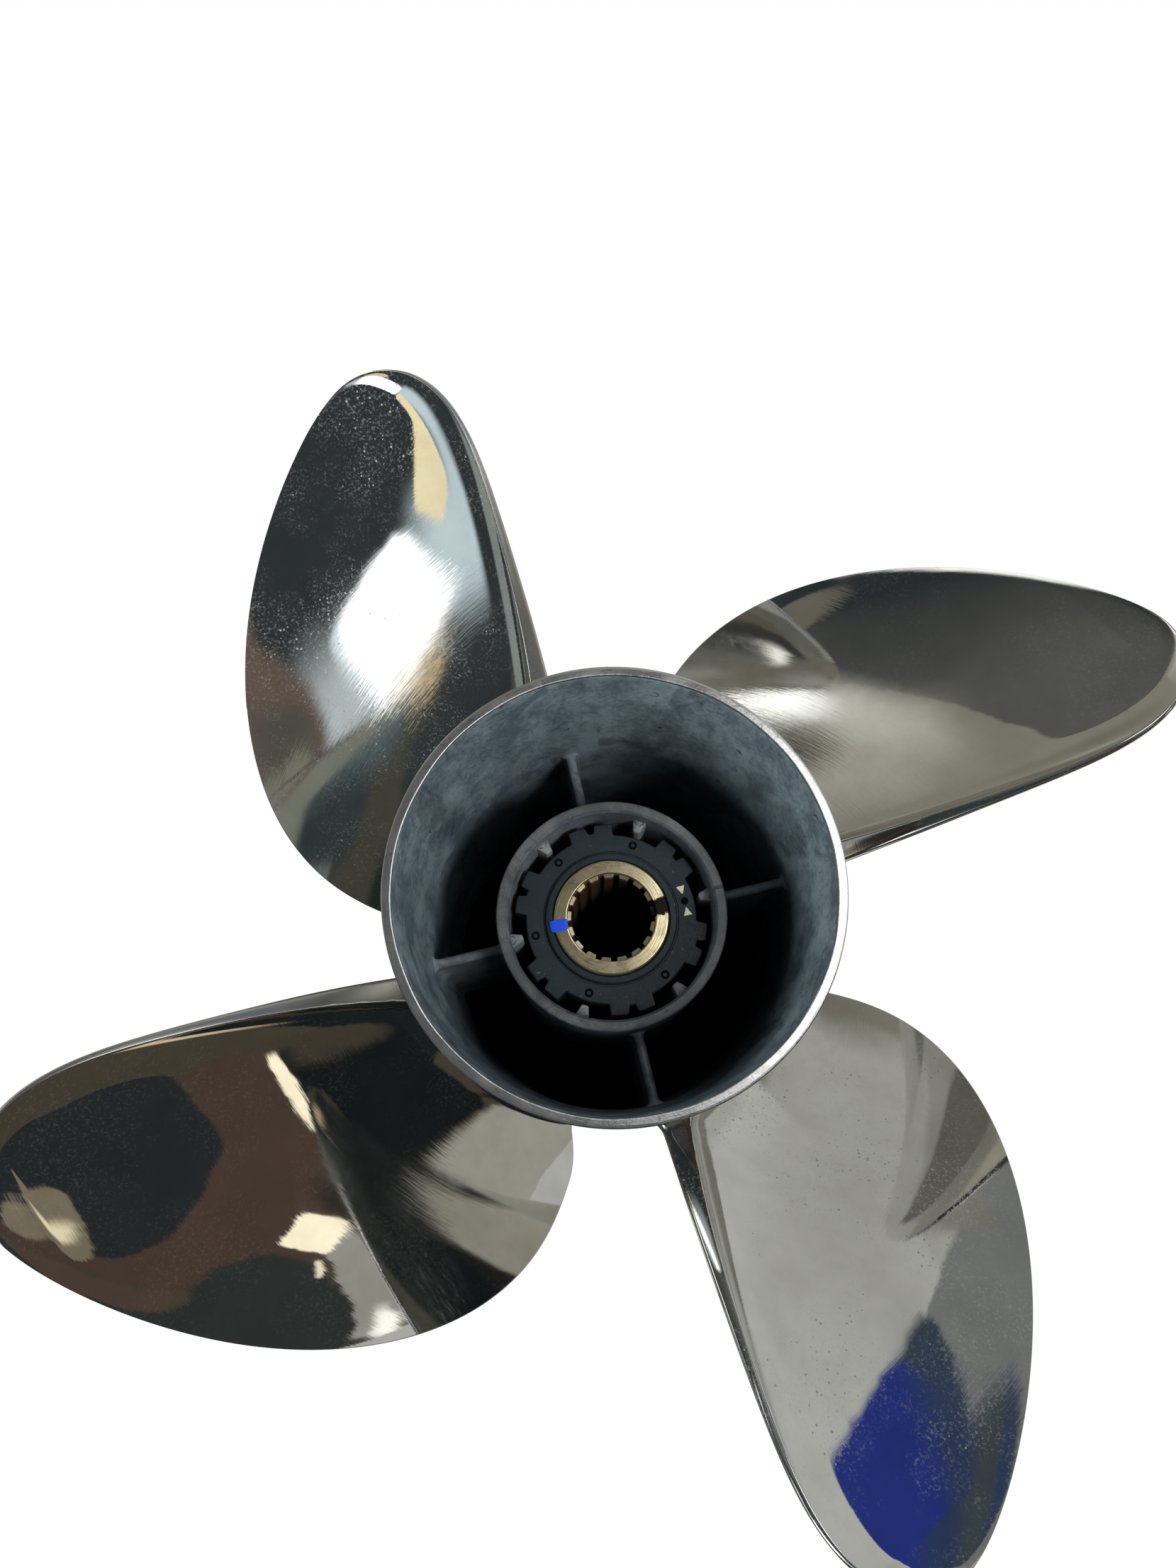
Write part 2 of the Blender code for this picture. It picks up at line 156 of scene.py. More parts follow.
# How the blades differ, with lengths in millimetres
BLADES = (
    # name, roughness of the trailing face, specks, their darkness, then the brushed lines' radius,
    # its spread, share of the chord, its spread and strength, then the nicks' radius, depth and width
    ("blade_upper_left", 0.34, 0.85, 0, (105, 24, 0.40, 0.38, 1), ((70, 0.3, 2),)),
    ("blade_lower_left", 0.24, 0.14, 0, (108, 12, 0.60, 0.20, 0.6),
     ((72, 0.5, 1.2), (80, 0.35, 0.8), (88, 0.3, 1.5))),
    ("blade_lower_right", 0.05, 0.95, 1, (105, 24, 0.40, 0.38, 0.1),
     ((71, 0.6, 1.5), (83, 0.4, 1.5), (138, 0.3, 3))),
    ("blade_upper_right", 0.08, 0.16, 0.3, (90, 17, 0.60, 0.36, 1.7),
     ((71, 0.5, 1), (78, 0.3, 0.8))),
)

# The photograph's camera
CAMERA_PLACE = (-5.8 * MM, -56.1 * MM, BARREL_LENGTH + 306.7 * MM)
CAMERA_TILT = (15.30, 0.22, 0)
CAMERA_LENS = 27.03
SENSOR_HEIGHT = 36
CAMERA_CLIP = (0.01, 50)

# Mesh finishing
SHARP_ANGLE = 30             # degrees
WELD_DISTANCE = 0.002 * MM
CORNER_ROOM = 0.45           # of a side, that one rounded corner may take

# Marks on the sleeve's face, and the paint on the bush
EJECTOR_RADIUS = 23.9 * MM
EJECTOR_RING = (0.6 * MM, 1.35 * MM)
EJECTOR_HEIGHT = 0.24 * MM
MARK_SINK = 0.1 * MM         # of every mark's foot below the face
DOT_PLACE = (23.4 * MM, 13.2)
DOT_RADIUS = 1.2 * MM
DOT_HEIGHT = 0.12 * MM
TRIANGLE_PLACES = ((23.5 * MM, 22), (23.6 * MM, 5))
TRIANGLE_TIP = 1.5 * MM
TRIANGLE_BASE = 1.2 * MM
TRIANGLE_HALF_WIDTH = 1.35 * MM
TRIANGLE_ROUND = 0.25 * MM
TRIANGLE_HEIGHT = 0.1 * MM
PAINT_PLACE = (-16.1 * MM, -2.6 * MM)
PAINT_LEAN = 12              # degrees
PAINT_HALF_LENGTH = 2.75 * MM
PAINT_HALF_WIDTH = 1.85 * MM
PAINT_ROUND = 1.1 * MM
PAINT_HEIGHT = 0.09 * MM
MARK_BEVEL = 0.08 * MM
INK_SLOPE = 0.30
INK_BELOW_AXIS = 1.1 * MM
INK_RAGGED = 3 * MM
INK_HALF_WIDTH = (3 * MM, 2.5 * MM)
INK_START = (11.5 * MM, 12.5 * MM)


# Meshes

def placed(name, data):
    """A new object in the scene with this data."""
    obj = bpy.data.objects.new(name, data)
    bpy.context.scene.collection.objects.link(obj)
    return obj


def skin(name, rows, materials, capped=False, zones=(), values=None, weld=False):
    """An object over closed loops of points, joined loop to loop.

    rows is an array of loops by points by 3. The last loop joins the first, or, when capped, each
    of these two is closed by joining point i to point count - 1 - i. zones has the material index
    of each segment of a loop, and values has named values of all points. weld joins doubled points.
    """
    rows = np.array(rows)
    loops, count, _ = rows.shape
    index = np.arange(loops * count).reshape(loops, count)
    here, there = index, np.roll(index, -1, 0)
    if capped:
        here, there = here[:-1], there[:-1]
    faces = [np.stack([here, np.roll(here, -1, 1), np.roll(there, -1, 1), there], -1).reshape(-1, 4)]
    if capped:
        half = count // 2
        for cap, order in ((index[0], -1), (index[-1], 1)):
            back = cap[::-1]
            cover = np.stack([cap[:half - 1], cap[1:half], back[1:half], back[:half - 1]], -1)
            faces.append(cover[:, ::order])
    mesh = bpy.data.meshes.new(name)
    mesh.from_pydata(rows.reshape(-1, 3).tolist(), [], np.concatenate(faces).tolist())
    mesh.validate()
    if len(zones):
        mesh.polygons.foreach_set("material_index", np.tile(np.array(zones, np.int32), loops))
    for label, each in (values or {}).items():
        attribute = mesh.attributes.new(label, "FLOAT", "POINT")
        attribute.data.foreach_set("value", each.reshape(-1).astype(np.float32))
    shape = bmesh.new()
    shape.from_mesh(mesh)
    if weld:
        bmesh.ops.remove_doubles(shape, verts=shape.verts, dist=WELD_DISTANCE)
        bmesh.ops.dissolve_degenerate(shape, edges=shape.edges, dist=WELD_DISTANCE / 2)
    bmesh.ops.recalc_face_normals(shape, faces=shape.faces)
    shape.to_mesh(mesh)
    shape.free()
    mesh.shade_smooth()
    mesh.set_sharp_from_angle(angle=math.radians(SHARP_ANGLE))
    for material in materials:
        mesh.materials.append(material)
    return placed(name, mesh)


def turned_by(degrees):
    """The matrix that turns rows of points about the shaft axis."""
    turn = math.radians(degrees)
    return np.array([[math.cos(turn), math.sin(turn), 0], [-math.sin(turn), math.cos(turn), 0],
                     [0, 0, 1]])


def finish_piece(obj, body, slot, *nodes):
    if nodes:
        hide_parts(*nodes)
    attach(obj, body)


def corner(before, at, after, points):
    """A rounded corner, as a quadratic curve from before to after that turns at at."""
    u = np.linspace(0, 1, points)[:, None]
    return (1 - u) ** 2 * before + 2 * u * (1 - u) * at + u ** 2 * after


# Blades

def powers(coefficients, measure):
    return sum(value * measure ** i for i, value in enumerate(coefficients))


def face_height(radius, degrees):
    out = radius - RAKE_START
    turn = (degrees - FACE_ANGLE) / 360
    return FACE_HEIGHT + RAKE_SLOPE * out + RAKE_CURVE * out ** 2 - PITCH * turn


def section_thickness(measure, share, thin):
    trailing = TRAILING_TIP + TRAILING_GAIN * math.exp(
        -measure * (TIP_RADIUS - OUTLINE_ORIGIN) / TRAILING_FADE)
    inner = max(0, measure) ** THINNING_POWER
    thickest = ROOT_THICKNESS + (TIP_THICKNESS - ROOT_THICKNESS) * inner
    ramp = trailing + (LEADING_THICKNESS - trailing) * share
    bulge = max(0, thickest - (trailing + LEADING_THICKNESS) / 2) * 4 * share * (1 - share)
    return (ramp + bulge) * thin


def section_loop(measure, radius, nick):
    """One section in its developed plane, as a closed loop of (along, forward) points.

    The loop starts in the middle of the trailing face, passes the pressure face, the leading edge
    and the suction face, and comes back. With it come each point's share of the chord and of the
    trailing face's roughness, the angle where the section starts, and its climb.
    """
    tuck = ROOT_TUCK * max(0, 1 - measure / TUCK_END) ** 2
    middle = powers(MID_LINE, measure) - tuck / 2
    half = powers(SPREAD, measure) / 2 * math.sqrt(max(0, 1 - measure ** 2)) - tuck / 2
    half = max(half, LEAST_HALF_SPREAD)
    climb = math.atan2(PITCH, 2 * math.pi * radius)
    chord = 2 * math.radians(half) * radius / math.cos(climb)
    thin = math.sqrt(max(0, 1 - max(0, (measure - TIP_ROUND_FROM) / (1 - TIP_ROUND_FROM)) ** 2))
    thin = max(thin, LEAST_THICKNESS_SHARE)
    cup = CUP_DEPTH * min(1, chord / FULL_CUP_CHORD)
    full_lean = math.atan(2 * cup / CUP_LENGTH) + math.radians(TRAILING_BEVEL)
    cap = min(LEADING_THICKNESS / 2 * thin, chord / 4)

    def face(share):
        inside = np.maximum(0, 1 - share * chord / CUP_LENGTH)
        hollow = CAMBER_SHARE * chord * 4 * share * (1 - share)
        hollow = hollow + cup * (1 - inside ** 2) * (1 - share)
        return np.stack([share * (chord - cap), hollow], -1), full_lean * inside

    def back(share):
        surface, lean = face(share)
        depth = section_thickness(measure, share, thin)[:, None]
        return surface + depth * np.stack([-np.sin(lean), np.cos(lean)], -1)

    share = (1 - np.cos(np.pi * np.arange(FACE_POINTS) / (FACE_POINTS - 1))) / 2
    pressure, lean = face(share)
    suction = back(share)
    first, last = pressure[0], suction[0]
    strip = last - first
    edge = np.linalg.norm(strip)
    strip = strip / edge
    trim = min((PRESSURE_CORNER + nick) / edge, LONGEST_TRIM)
    blunt = min(SUCTION_CORNER / edge, LONGEST_BLUNT)
    outward = np.array([-strip[1], strip[0]])
    if outward[0] > 0:
        outward = -outward
    q = np.linspace(trim, 1 - blunt, 2 * STRIP_POINTS)[:, None]
    flat = first + strip * edge * q + outward * STRIP_BULGE * thin * 4 * q * (1 - q)
    near = share * chord
    keep = near > (PRESSURE_CORNER + nick) * CORNER_CLEAR
    keep_back = near > SUCTION_CORNER * CORNER_CLEAR
    start = np.interp(PRESSURE_CORNER + nick, near, np.arange(FACE_POINTS))
    pressure_from, _ = face(np.interp(start, np.arange(FACE_POINTS), share)[None])
    suction_from = back(np.interp(SUCTION_CORNER, near, share)[None])
    face_share = np.linspace(0, 1, FACE_POINTS)
    kept = resample(pressure[keep], pressure_from, FACE_POINTS)
    kept_back = resample(suction[keep_back], suction_from, FACE_POINTS)
    turn_on = corner(flat[0], first, kept[0], CORNER_POINTS)[1:-1]
    turn_off = corner(kept_back[0], last, flat[-1], CORNER_POINTS)[1:-1]
    swing = np.linspace(-np.pi / 2, np.pi / 2, CAP_POINTS + 2)[1:-1]
    centre = (kept[-1] + kept_back[-1]) / 2
    rise = np.linalg.norm(kept_back[-1] - kept[-1]) / 2
    nose = centre + np.stack([cap * np.cos(swing), rise * np.sin(swing)], -1)
    mid = len(flat) // 2
    runs = (
        # points, their share of the chord, their share of the trailing face's roughness
        (flat[:mid][::-1], 0, 1),
        (turn_on, 0, np.linspace(CHAMFER_SHADE[0], 0, len(turn_on))),
        (kept, face_share, 0),
        (nose, 1, 0),
        (kept_back[::-1], face_share[::-1], 0),
        (turn_off, 0, np.linspace(CHAMFER_SHADE[1], 1, len(turn_off))),
        (flat[mid:][::-1], 0, 1),
    )
    loop = np.concatenate([points for points, _, _ in runs])
    shares, strips = (np.concatenate([np.broadcast_to(run[column], len(run[0])) for run in runs])
                      for column in (1, 2))
    return loop, shares, strips, middle - half, climb


def resample(points, start, count):
    """The same run of points with start put in front, spread over count points."""
    run = np.concatenate([np.atleast_2d(start), points])
    old = np.linspace(0, 1, len(run))
    new = np.linspace(0, 1, count)
    return np.stack([np.interp(new, old, run[:, 0]), np.interp(new, old, run[:, 1])], -1)


def loop_normals(loop):
    """Outward normals of a closed loop in its plane."""
    tangent = np.roll(loop, -1, 0) - np.roll(loop, 1, 0)
    normal = np.stack([tangent[:, 1], -tangent[:, 0]], -1)
    normal = normal / np.linalg.norm(normal, axis=1, keepdims=True)
    return normal * np.sign(((loop - loop.mean(0)) * normal).sum())


def blade_rows(nicks):
    """The blade's sections from root to tip, with each point's shares and radius.

    nicks holds the radius, depth and half width of each dent along the trailing edge.
    """
    reach = TIP_RADIUS - OUTLINE_ORIGIN
    stations = [(BARREL_RADIUS - ROOT_OVERRUN, ROOT_FILLET)]
    for j in range(FILLET_ROWS):
        swing = math.pi / 2 * (1 - j / FILLET_ROWS)
        stations.append((BARREL_RADIUS + ROOT_FILLET * (1 - math.sin(swing)),
                         ROOT_FILLET * (1 - math.cos(swing))))
    first = math.asin((BARREL_RADIUS + ROOT_FILLET - OUTLINE_ORIGIN) / reach)
    for j in range(SPAN_ROWS + 1):
        swing = first + (math.pi / 2 - first) * j / SPAN_ROWS
        stations.append((OUTLINE_ORIGIN + reach * math.sin(swing), 0))
    rows, shares, strips, spans = [], [], [], []
    for radius, fillet in stations:
        measure = min(1, (radius - OUTLINE_ORIGIN) / reach)
        nick = sum(deep * math.exp(-((radius - at) / wide) ** 2) for at, deep, wide in nicks)
        loop, share, strip, start, climb = section_loop(measure, radius, nick)
        if fillet:
            grow = fillet * (1 + (LEADING_FILLET_SHARE - 1) * share ** 4)
            loop = loop + loop_normals(loop) * grow[:, None]
        along, forward = loop[:, 0], loop[:, 1]
        turn = (along * math.cos(climb) - forward * math.sin(climb)) / radius
        drop = along * math.sin(climb) + forward * math.cos(climb)
        angle = math.radians(start) + turn
        height = face_height(radius, start) - drop
        rows.append(np.stack([radius * np.cos(angle), radius * np.sin(angle), height], -1))
        shares.append(share)
        strips.append(strip)
        spans.append(np.full(len(share), radius))
    return np.array(rows), np.array(shares), np.array(strips), np.array(spans)


def make_blade(index, material):
    """One blade, with the looks that the steel's material reads as values of its points."""
    name, strip_roughness, wear, pit, brushed, nicks = BLADES[index]
    rows, shares, strips, spans = blade_rows(np.array(nicks) * MM)
    at, wide, share_at, share_wide, strength = brushed
    brush = strength * np.exp(-((spans / MM - at) / wide) ** 2
                              - ((shares - share_at) / share_wide) ** 2)
    looks = {"strip": strips * strip_roughness, "wear": np.full(shares.shape, wear),
             "pit": np.full(shares.shape, pit), "brushed": brush}
    blade = skin(name + "_polished", rows @ turned_by(360 / len(BLADES) * index), [material],
                 capped=True, values=looks, weld=True)
    finish_piece(blade, CASTING, "polished_stainless", name)


# Turned and ring-shaped hub pieces

def offsets(radius, height, steps):
    """Profile points at these (outward, aft) steps, in millimetres, from one place."""
    return [(radius + out * MM, height + aft * MM) for out, aft in steps]


def ring(name, profile, steps, materials, zones=()):
    """A closed (radius, height) profile carried round the axis, with a material zone a segment."""
    rows = []
    for angle in 2 * math.pi * np.arange(steps) / steps:
        loop = np.array(profile(angle), float)
        rows.append(np.stack([loop[:, 0] * math.cos(angle), loop[:, 0] * math.sin(angle),
                              loop[:, 1]], -1))
    return skin(name, rows, materials, zones=zones)


def rounded(points, radius, steps=3):
    """A closed outline with each corner rounded by about this much."""
    points = np.array(points, float)
    out = []
    for at, before, after in zip(points, np.roll(points, 1, 0), np.roll(points, -1, 0)):
        arms = (before - at, after - at)
        lengths = [np.linalg.norm(arm) for arm in arms]
        cut = min(radius, min(lengths) * CORNER_ROOM)
        start, end = (at + arm / length * cut for arm, length in zip(arms, lengths))
        out.extend(corner(start, at, end, steps + 1).tolist())
    return out


def ripple(angle, seed, waves):
    """A smooth repeatable wobble round the axis, between about -1 and 1."""
    rng = np.random.default_rng(seed)
    total = sum(math.sin(wave * angle + rng.uniform(0, 2 * math.pi)) * rng.uniform(0.4, 1)
                for wave in waves)
    return total / len(waves)


def make_barrel(polished, satin, cast):
    """The barrel, with its flared rim, the bell behind the ribs and an uneven cast bore."""
    ledge = RIB_AFT + BELL_START
    flare_steps = 12

    def profile(angle):
        inner = BORE_RADIUS_RIM + 0.35 * MM * ripple(angle, 4, (2, 3, 5, 9, 14))
        loop = []
        for i in range(flare_steps + 1):
            share = i / flare_steps
            wider = (RIM_RADIUS - BARREL_RADIUS) * (1 - share) ** 2
            loop.append((BARREL_RADIUS + wider, BARREL_LENGTH - RIM_ROUND - share * FLARE_LENGTH))
        loop.append((BARREL_RADIUS, BARREL_LENGTH * 0.4))
        loop += offsets(BARREL_RADIUS, 0, ((0, 0.8), (-0.2, 0.2), (-0.8, 0)))
        loop += offsets(BORE_RADIUS, 0, ((0.8, 0), (0, 0.8)))
        loop += [(BORE_RADIUS, RIB_AFT * share) for share in (0.25, 0.5, 0.75, 0.95)]
        loop += [(BORE_RADIUS, RIB_AFT), (BORE_RADIUS + 0.15 * MM, ledge),
                 (BORE_RADIUS + BELL_STEP, ledge + 2 * MM)]
        for share in (0.2, 0.4, 0.6, 0.8, 0.95):
            wider = (inner - BORE_RADIUS - BELL_STEP) * share
            loop.append((BORE_RADIUS + BELL_STEP + wider,
                         ledge + (BARREL_LENGTH - ledge) * share))
        loop += offsets(inner, BARREL_LENGTH,
                        ((0, -0.7), (0.1, -0.35), (0.35, -0.05), (0.6, 0), (0.75, 0)))
        loop += offsets(RIM_RADIUS, BARREL_LENGTH,
                        ((-0.95, 0), (-0.75, 0), (-0.3, -0.06), (-0.08, -0.25)))
        return loop

    # The rim's end and the forward end are satin, the outside polished, and the bore cast
    sample = np.array(profile(0))
    radius, height = ((sample + np.roll(sample, -1, 0)) / 2).T
    ends = (height > BARREL_LENGTH - 0.4 * MM) | (height < 0.1 * MM)
    outside = radius > (BARREL_RADIUS + BORE_RADIUS_RIM) / 2
    zones = np.where(ends, 1, np.where(outside, 0, 2))
    barrel = ring("barrel", profile, 360, [polished, satin, cast], zones)
    finish_piece(barrel, CASTING, "cast_stainless", "exhaust_barrel")


def make_tube(cast, machined):
    """The inner hub tube, with a shoulder in its bore and a saw cut in its machined face."""
    saw_start, saw_end = (math.radians(degrees) for degrees in SAW_CUT)

    def profile(angle):
        bore = TUBE_BORE_RADIUS + 0.06 * MM * ripple(angle, 9, (2, 5, 11))
        top = TUBE_AFT - (SAW_DEPTH if saw_start <= angle <= saw_end else 0)
        return (offsets(TUBE_RADIUS, top, ((-0.9, 0), (-0.35, -0.12), (-0.08, -0.5), (0, -1.1)))
                + offsets(TUBE_RADIUS, TUBE_FORWARD, ((0, 0.8), (-0.8, 0)))
                + offsets(SHOULDER_RADIUS, TUBE_FORWARD, ((0.5, 0), (0, 0.5)))
                + [(SHOULDER_RADIUS, SHOULDER_AFT), (bore, SHOULDER_AFT), (bore, TUBE_AFT - 1.6 * MM)]
                + offsets(bore, top, ((0.15, -0.9), (0.45, -0.3), (0.8, 0), (1, 0)))
                + offsets(TUBE_RADIUS, top, ((-1.1, 0),)))

    # The aft face is machined, with the nearest step of the rounding on each side
    count = len(profile(0))
    zones = [1 if i == 0 or i >= count - 4 else 0 for i in range(count)]
    tube = ring("hub_tube", profile, 360, [cast, machined], zones)
    finish_piece(tube, CASTING, "cast_stainless", "inner_hub_tube")


def make_rib(index, cast):
    """A plate across the exhaust passage, with round fillets into both walls and round edges."""
    start, end = TUBE_RADIUS - 0.6 * MM, BORE_RADIUS + 0.8 * MM
    crown = RIB_THICKNESS / 2 * 0.8
    middle = (RIB_AFT + RIB_FORWARD) / 2
    aft, forward = np.linspace(0, math.pi, 13), np.linspace(0, math.pi, 9)
    rows = []
    for along in np.linspace(start, end, 33):
        near = min(along - TUBE_RADIUS, BORE_RADIUS - along)
        inside = min(RIB_FILLET, max(0, RIB_FILLET - near))
        half = RIB_THICKNESS / 2 + RIB_FILLET - math.sqrt(RIB_FILLET ** 2 - inside ** 2)
        across = np.concatenate([half * np.cos(aft), [-half], -half * np.cos(forward), [half]])
        height = np.concatenate([RIB_AFT - crown + crown * np.sin(aft), [middle],
                                 RIB_FORWARD + crown - crown * np.sin(forward), [middle]])
        rows.append(np.stack([np.full(len(across), along), across, height], -1))
    spin = turned_by(RIB_ANGLE + 360 / RIB_COUNT * index)
    rib = skin(f"rib_{index + 1}", np.array(rows) @ spin, [cast], capped=True)
    finish_piece(rib, CASTING, "cast_stainless", f"exhaust_rib_{index + 1}")


def prism(name, outline, bottom, top, bevel, material):
    """An outline raised between two heights, with its top edge rounded inwards."""
    outline = np.array(outline, float)
    centre = outline.mean(0)
    away = loop_normals(outline)
    closed = 0.02
    levels = [(bottom, 0), (top - bevel, 0), (top - 0.6 * bevel, 0.1 * bevel),
              (top - 0.25 * bevel, 0.35 * bevel), (top, bevel)]
    rows = [np.column_stack([outline - away * inset, np.full(len(outline), height)])
            for height, inset in levels]
    rim = rows[-1][:, :2]
    for shrink in (0.5, closed):
        rows.append(np.column_stack([centre + (rim - centre) * shrink, np.full(len(outline), top)]))
    rows.insert(0, np.column_stack([centre + (outline - centre) * closed,
                                    np.full(len(outline), bottom)]))
    return skin(name, rows, [material], capped=True)


def polar(radius, degrees):
    return (radius * math.cos(math.radians(degrees)), radius * math.sin(math.radians(degrees)))


def make_lug(index, machined):
    base = TUBE_BORE_RADIUS + LUG_OVERRUN
    middle = LUG_ANGLE + 360 / LUG_COUNT * index
    corners = [polar(base, middle - LUG_BASE_HALF_ANGLE), polar(base, middle + LUG_BASE_HALF_ANGLE),
               polar(LUG_TIP_RADIUS, middle + LUG_TIP_HALF_ANGLE),
               polar(LUG_TIP_RADIUS, middle - LUG_TIP_HALF_ANGLE)]
    lug = prism(f"lug_{index + 1}", rounded(corners, LUG_ROUND, 4), LUG_FORWARD, LUG_AFT, LUG_ROUND,
                machined)
    finish_piece(lug, CASTING, "cast_stainless", f"drive_lug_{index + 1}")


# Drive hub

def smooth(value):
    value = min(1, max(0, value))
    return value * value * (3 - 2 * value)


def off_middle(degrees, middle, period):
    """How far an angle is from the nearest of evenly spaced middles."""
    return abs((degrees - middle + period / 2) % period - period / 2)


def castellation(degrees):
    """The sleeve's outer radius at this angle: six wide slots and six narrow notches."""
    period = 360 / LUG_COUNT
    off = off_middle(degrees, LUG_ANGLE, period)
    slot = smooth((SLOT_HALF_ANGLE + SLOT_BLEND / 2 - off) / SLOT_BLEND)
    notch = smooth((off - (period / 2 - NOTCH_HALF_ANGLE - NOTCH_LEAD)) / NOTCH_BLEND)
    radius = SLEEVE_RADIUS - (SLEEVE_RADIUS - SLOT_RADIUS) * slot
    return radius - (SLEEVE_RADIUS - NOTCH_RADIUS) * notch


def make_sleeve(composite):
    """The castellated sleeve, with a fine groove round its raised collar."""
    plate = COLLAR_TOP - COLLAR_HEIGHT
    bore = BUSH_RADIUS + 0.25 * MM

    def profile(angle):
        outer = castellation(math.degrees(angle))
        return (offsets(bore, COLLAR_TOP, ((0.3, 0), (0, -0.3)))
                + [(bore, SLEEVE_FORWARD), (outer, SLEEVE_FORWARD)]
                + offsets(outer, plate, ((0, -0.6), (-0.1, -0.28), (-0.4, -0.02), (-0.6, 0)))
                + [((outer + COLLAR_RADIUS) / 2, plate)]
                + offsets(COLLAR_RADIUS, plate, ((0.55, 0), (0.4, -0.35), (0.05, -0.35), (-0.1, 0)))
                + [(COLLAR_RADIUS - 0.25 * MM, plate + 0.75 * COLLAR_HEIGHT)]
                + offsets(COLLAR_RADIUS, COLLAR_TOP, ((-0.5, -0.06), (-0.8, 0))))

    sleeve = ring("castellated_insert", profile, 1440, [composite])
    finish_piece(sleeve, DRIVE_HUB, "black_composite", "hub_insert")


def make_bush(bronze):
    """The bronze bush, with its spline teeth set back a little from both faces."""
    pitch = 360 / SPLINE_TEETH
    ledge = SPLINE_ROOT_RADIUS + 0.1 * MM

    def tooth(degrees):
        off = off_middle(degrees, SPLINE_ANGLE, pitch) / pitch
        high = (SPLINE_BASE_SHARE / 2 - off) / (SPLINE_BASE_SHARE - SPLINE_TIP_SHARE) * 2
        return SPLINE_ROOT_RADIUS - (SPLINE_ROOT_RADIUS - SPLINE_TIP_RADIUS) * smooth(high)

    def profile(angle):
        inner = tooth(math.degrees(angle))
        return (offsets(BUSH_RADIUS, BUSH_AFT, ((-0.5, 0), (-0.15, -0.12), (0, -0.5)))
                + offsets(BUSH_RADIUS, BUSH_FORWARD, ((0, 0.5), (-0.5, 0)))
                + [(ledge + 0.9 * MM, BUSH_FORWARD), (inner, BUSH_FORWARD + 1.2 * MM),
                   (inner, (BUSH_AFT + BUSH_FORWARD) / 2)]
                + offsets(inner, BUSH_AFT, ((0, -1.2), (0.08, -0.62)))
                + offsets(ledge, BUSH_AFT, ((0, -0.5), (0.15, -0.1), (0.35, 0), (0.55, 0)))
                + offsets(BUSH_RADIUS, BUSH_AFT, ((-0.7, 0),)))

    bush = ring("bronze_bush", profile, 1020, [bronze])
    finish_piece(bush, DRIVE_HUB, "bronze", "spline_bush")


def disc_ring(name, centre, inner, outer, bottom, height, material, steps=28):
    """A small raised ring, such as the mark of an ejector pin."""
    rows = []
    for i in range(steps):
        swing = 2 * math.pi * i / steps
        loop = [(inner, bottom), (outer, bottom), (outer, bottom + 0.6 * height),
                (outer - 0.3 * (outer - inner), bottom + height),
                (inner + 0.3 * (outer - inner), bottom + height), (inner, bottom + 0.6 * height)]
        rows.append([(centre[0] + r * math.cos(swing), centre[1] + r * math.sin(swing), z)
                     for r, z in loop])
    return skin(name, rows, [material])


def make_marks(shade, gold, blue):
    """The ejector marks, the dot between its two triangles, and the dab of blue paint."""
    plate = COLLAR_TOP - COLLAR_HEIGHT
    foot = plate - MARK_SINK
    period = 360 / LUG_COUNT
    # Each ejector mark is a ring of painted shade, dark and almost without sheen, for the groove round
    # the pin's mark
    for i in range(1, LUG_COUNT):
        centre = polar(EJECTOR_RADIUS, LUG_ANGLE + period * i)
        mark = disc_ring(f"ejector_mark_{i}", centre, *EJECTOR_RING, foot, EJECTOR_HEIGHT, shade)
        finish_piece(mark, DRIVE_HUB, "black_composite")
    dot = polar(*DOT_PLACE)
    circle = [(dot[0] + DOT_RADIUS * math.cos(a), dot[1] + DOT_RADIUS * math.sin(a))
              for a in np.linspace(0, 2 * math.pi, 25)[:-1]]
    spot = prism("alignment_dot", circle, foot, plate + DOT_HEIGHT, DOT_HEIGHT, shade)
    finish_piece(spot, DRIVE_HUB, "black_composite")
    for i, place in enumerate(TRIANGLE_PLACES):
        centre = Vector(polar(*place))
        towards = (Vector(dot) - centre).normalized()
        side = Vector((-towards.y, towards.x)) * TRIANGLE_HALF_WIDTH
        base = centre - towards * TRIANGLE_BASE
        corners = [centre + towards * TRIANGLE_TIP, base + side, base - side]
        mark = prism(f"alignment_triangle_{i + 1}", rounded(corners, TRIANGLE_ROUND),
                     foot, plate + TRIANGLE_HEIGHT, MARK_BEVEL, gold)
        finish_piece(mark, DRIVE_HUB, "bronze")
    centre = Vector(PAINT_PLACE)
    along = Vector((math.cos(math.radians(PAINT_LEAN)), math.sin(math.radians(PAINT_LEAN))))
    across = Vector((-along.y, along.x)) * PAINT_HALF_WIDTH
    along = along * PAINT_HALF_LENGTH
    corners = [centre - along - across, centre + along - across,
               centre + along + across, centre - along + across]
    daub = prism("blue_paint", rounded(corners, PAINT_ROUND, 6),
                 BUSH_AFT - MARK_SINK, BUSH_AFT + PAINT_HEIGHT, MARK_BEVEL, blue)
    finish_piece(daub, DRIVE_HUB, "black_composite")


# Node graphs

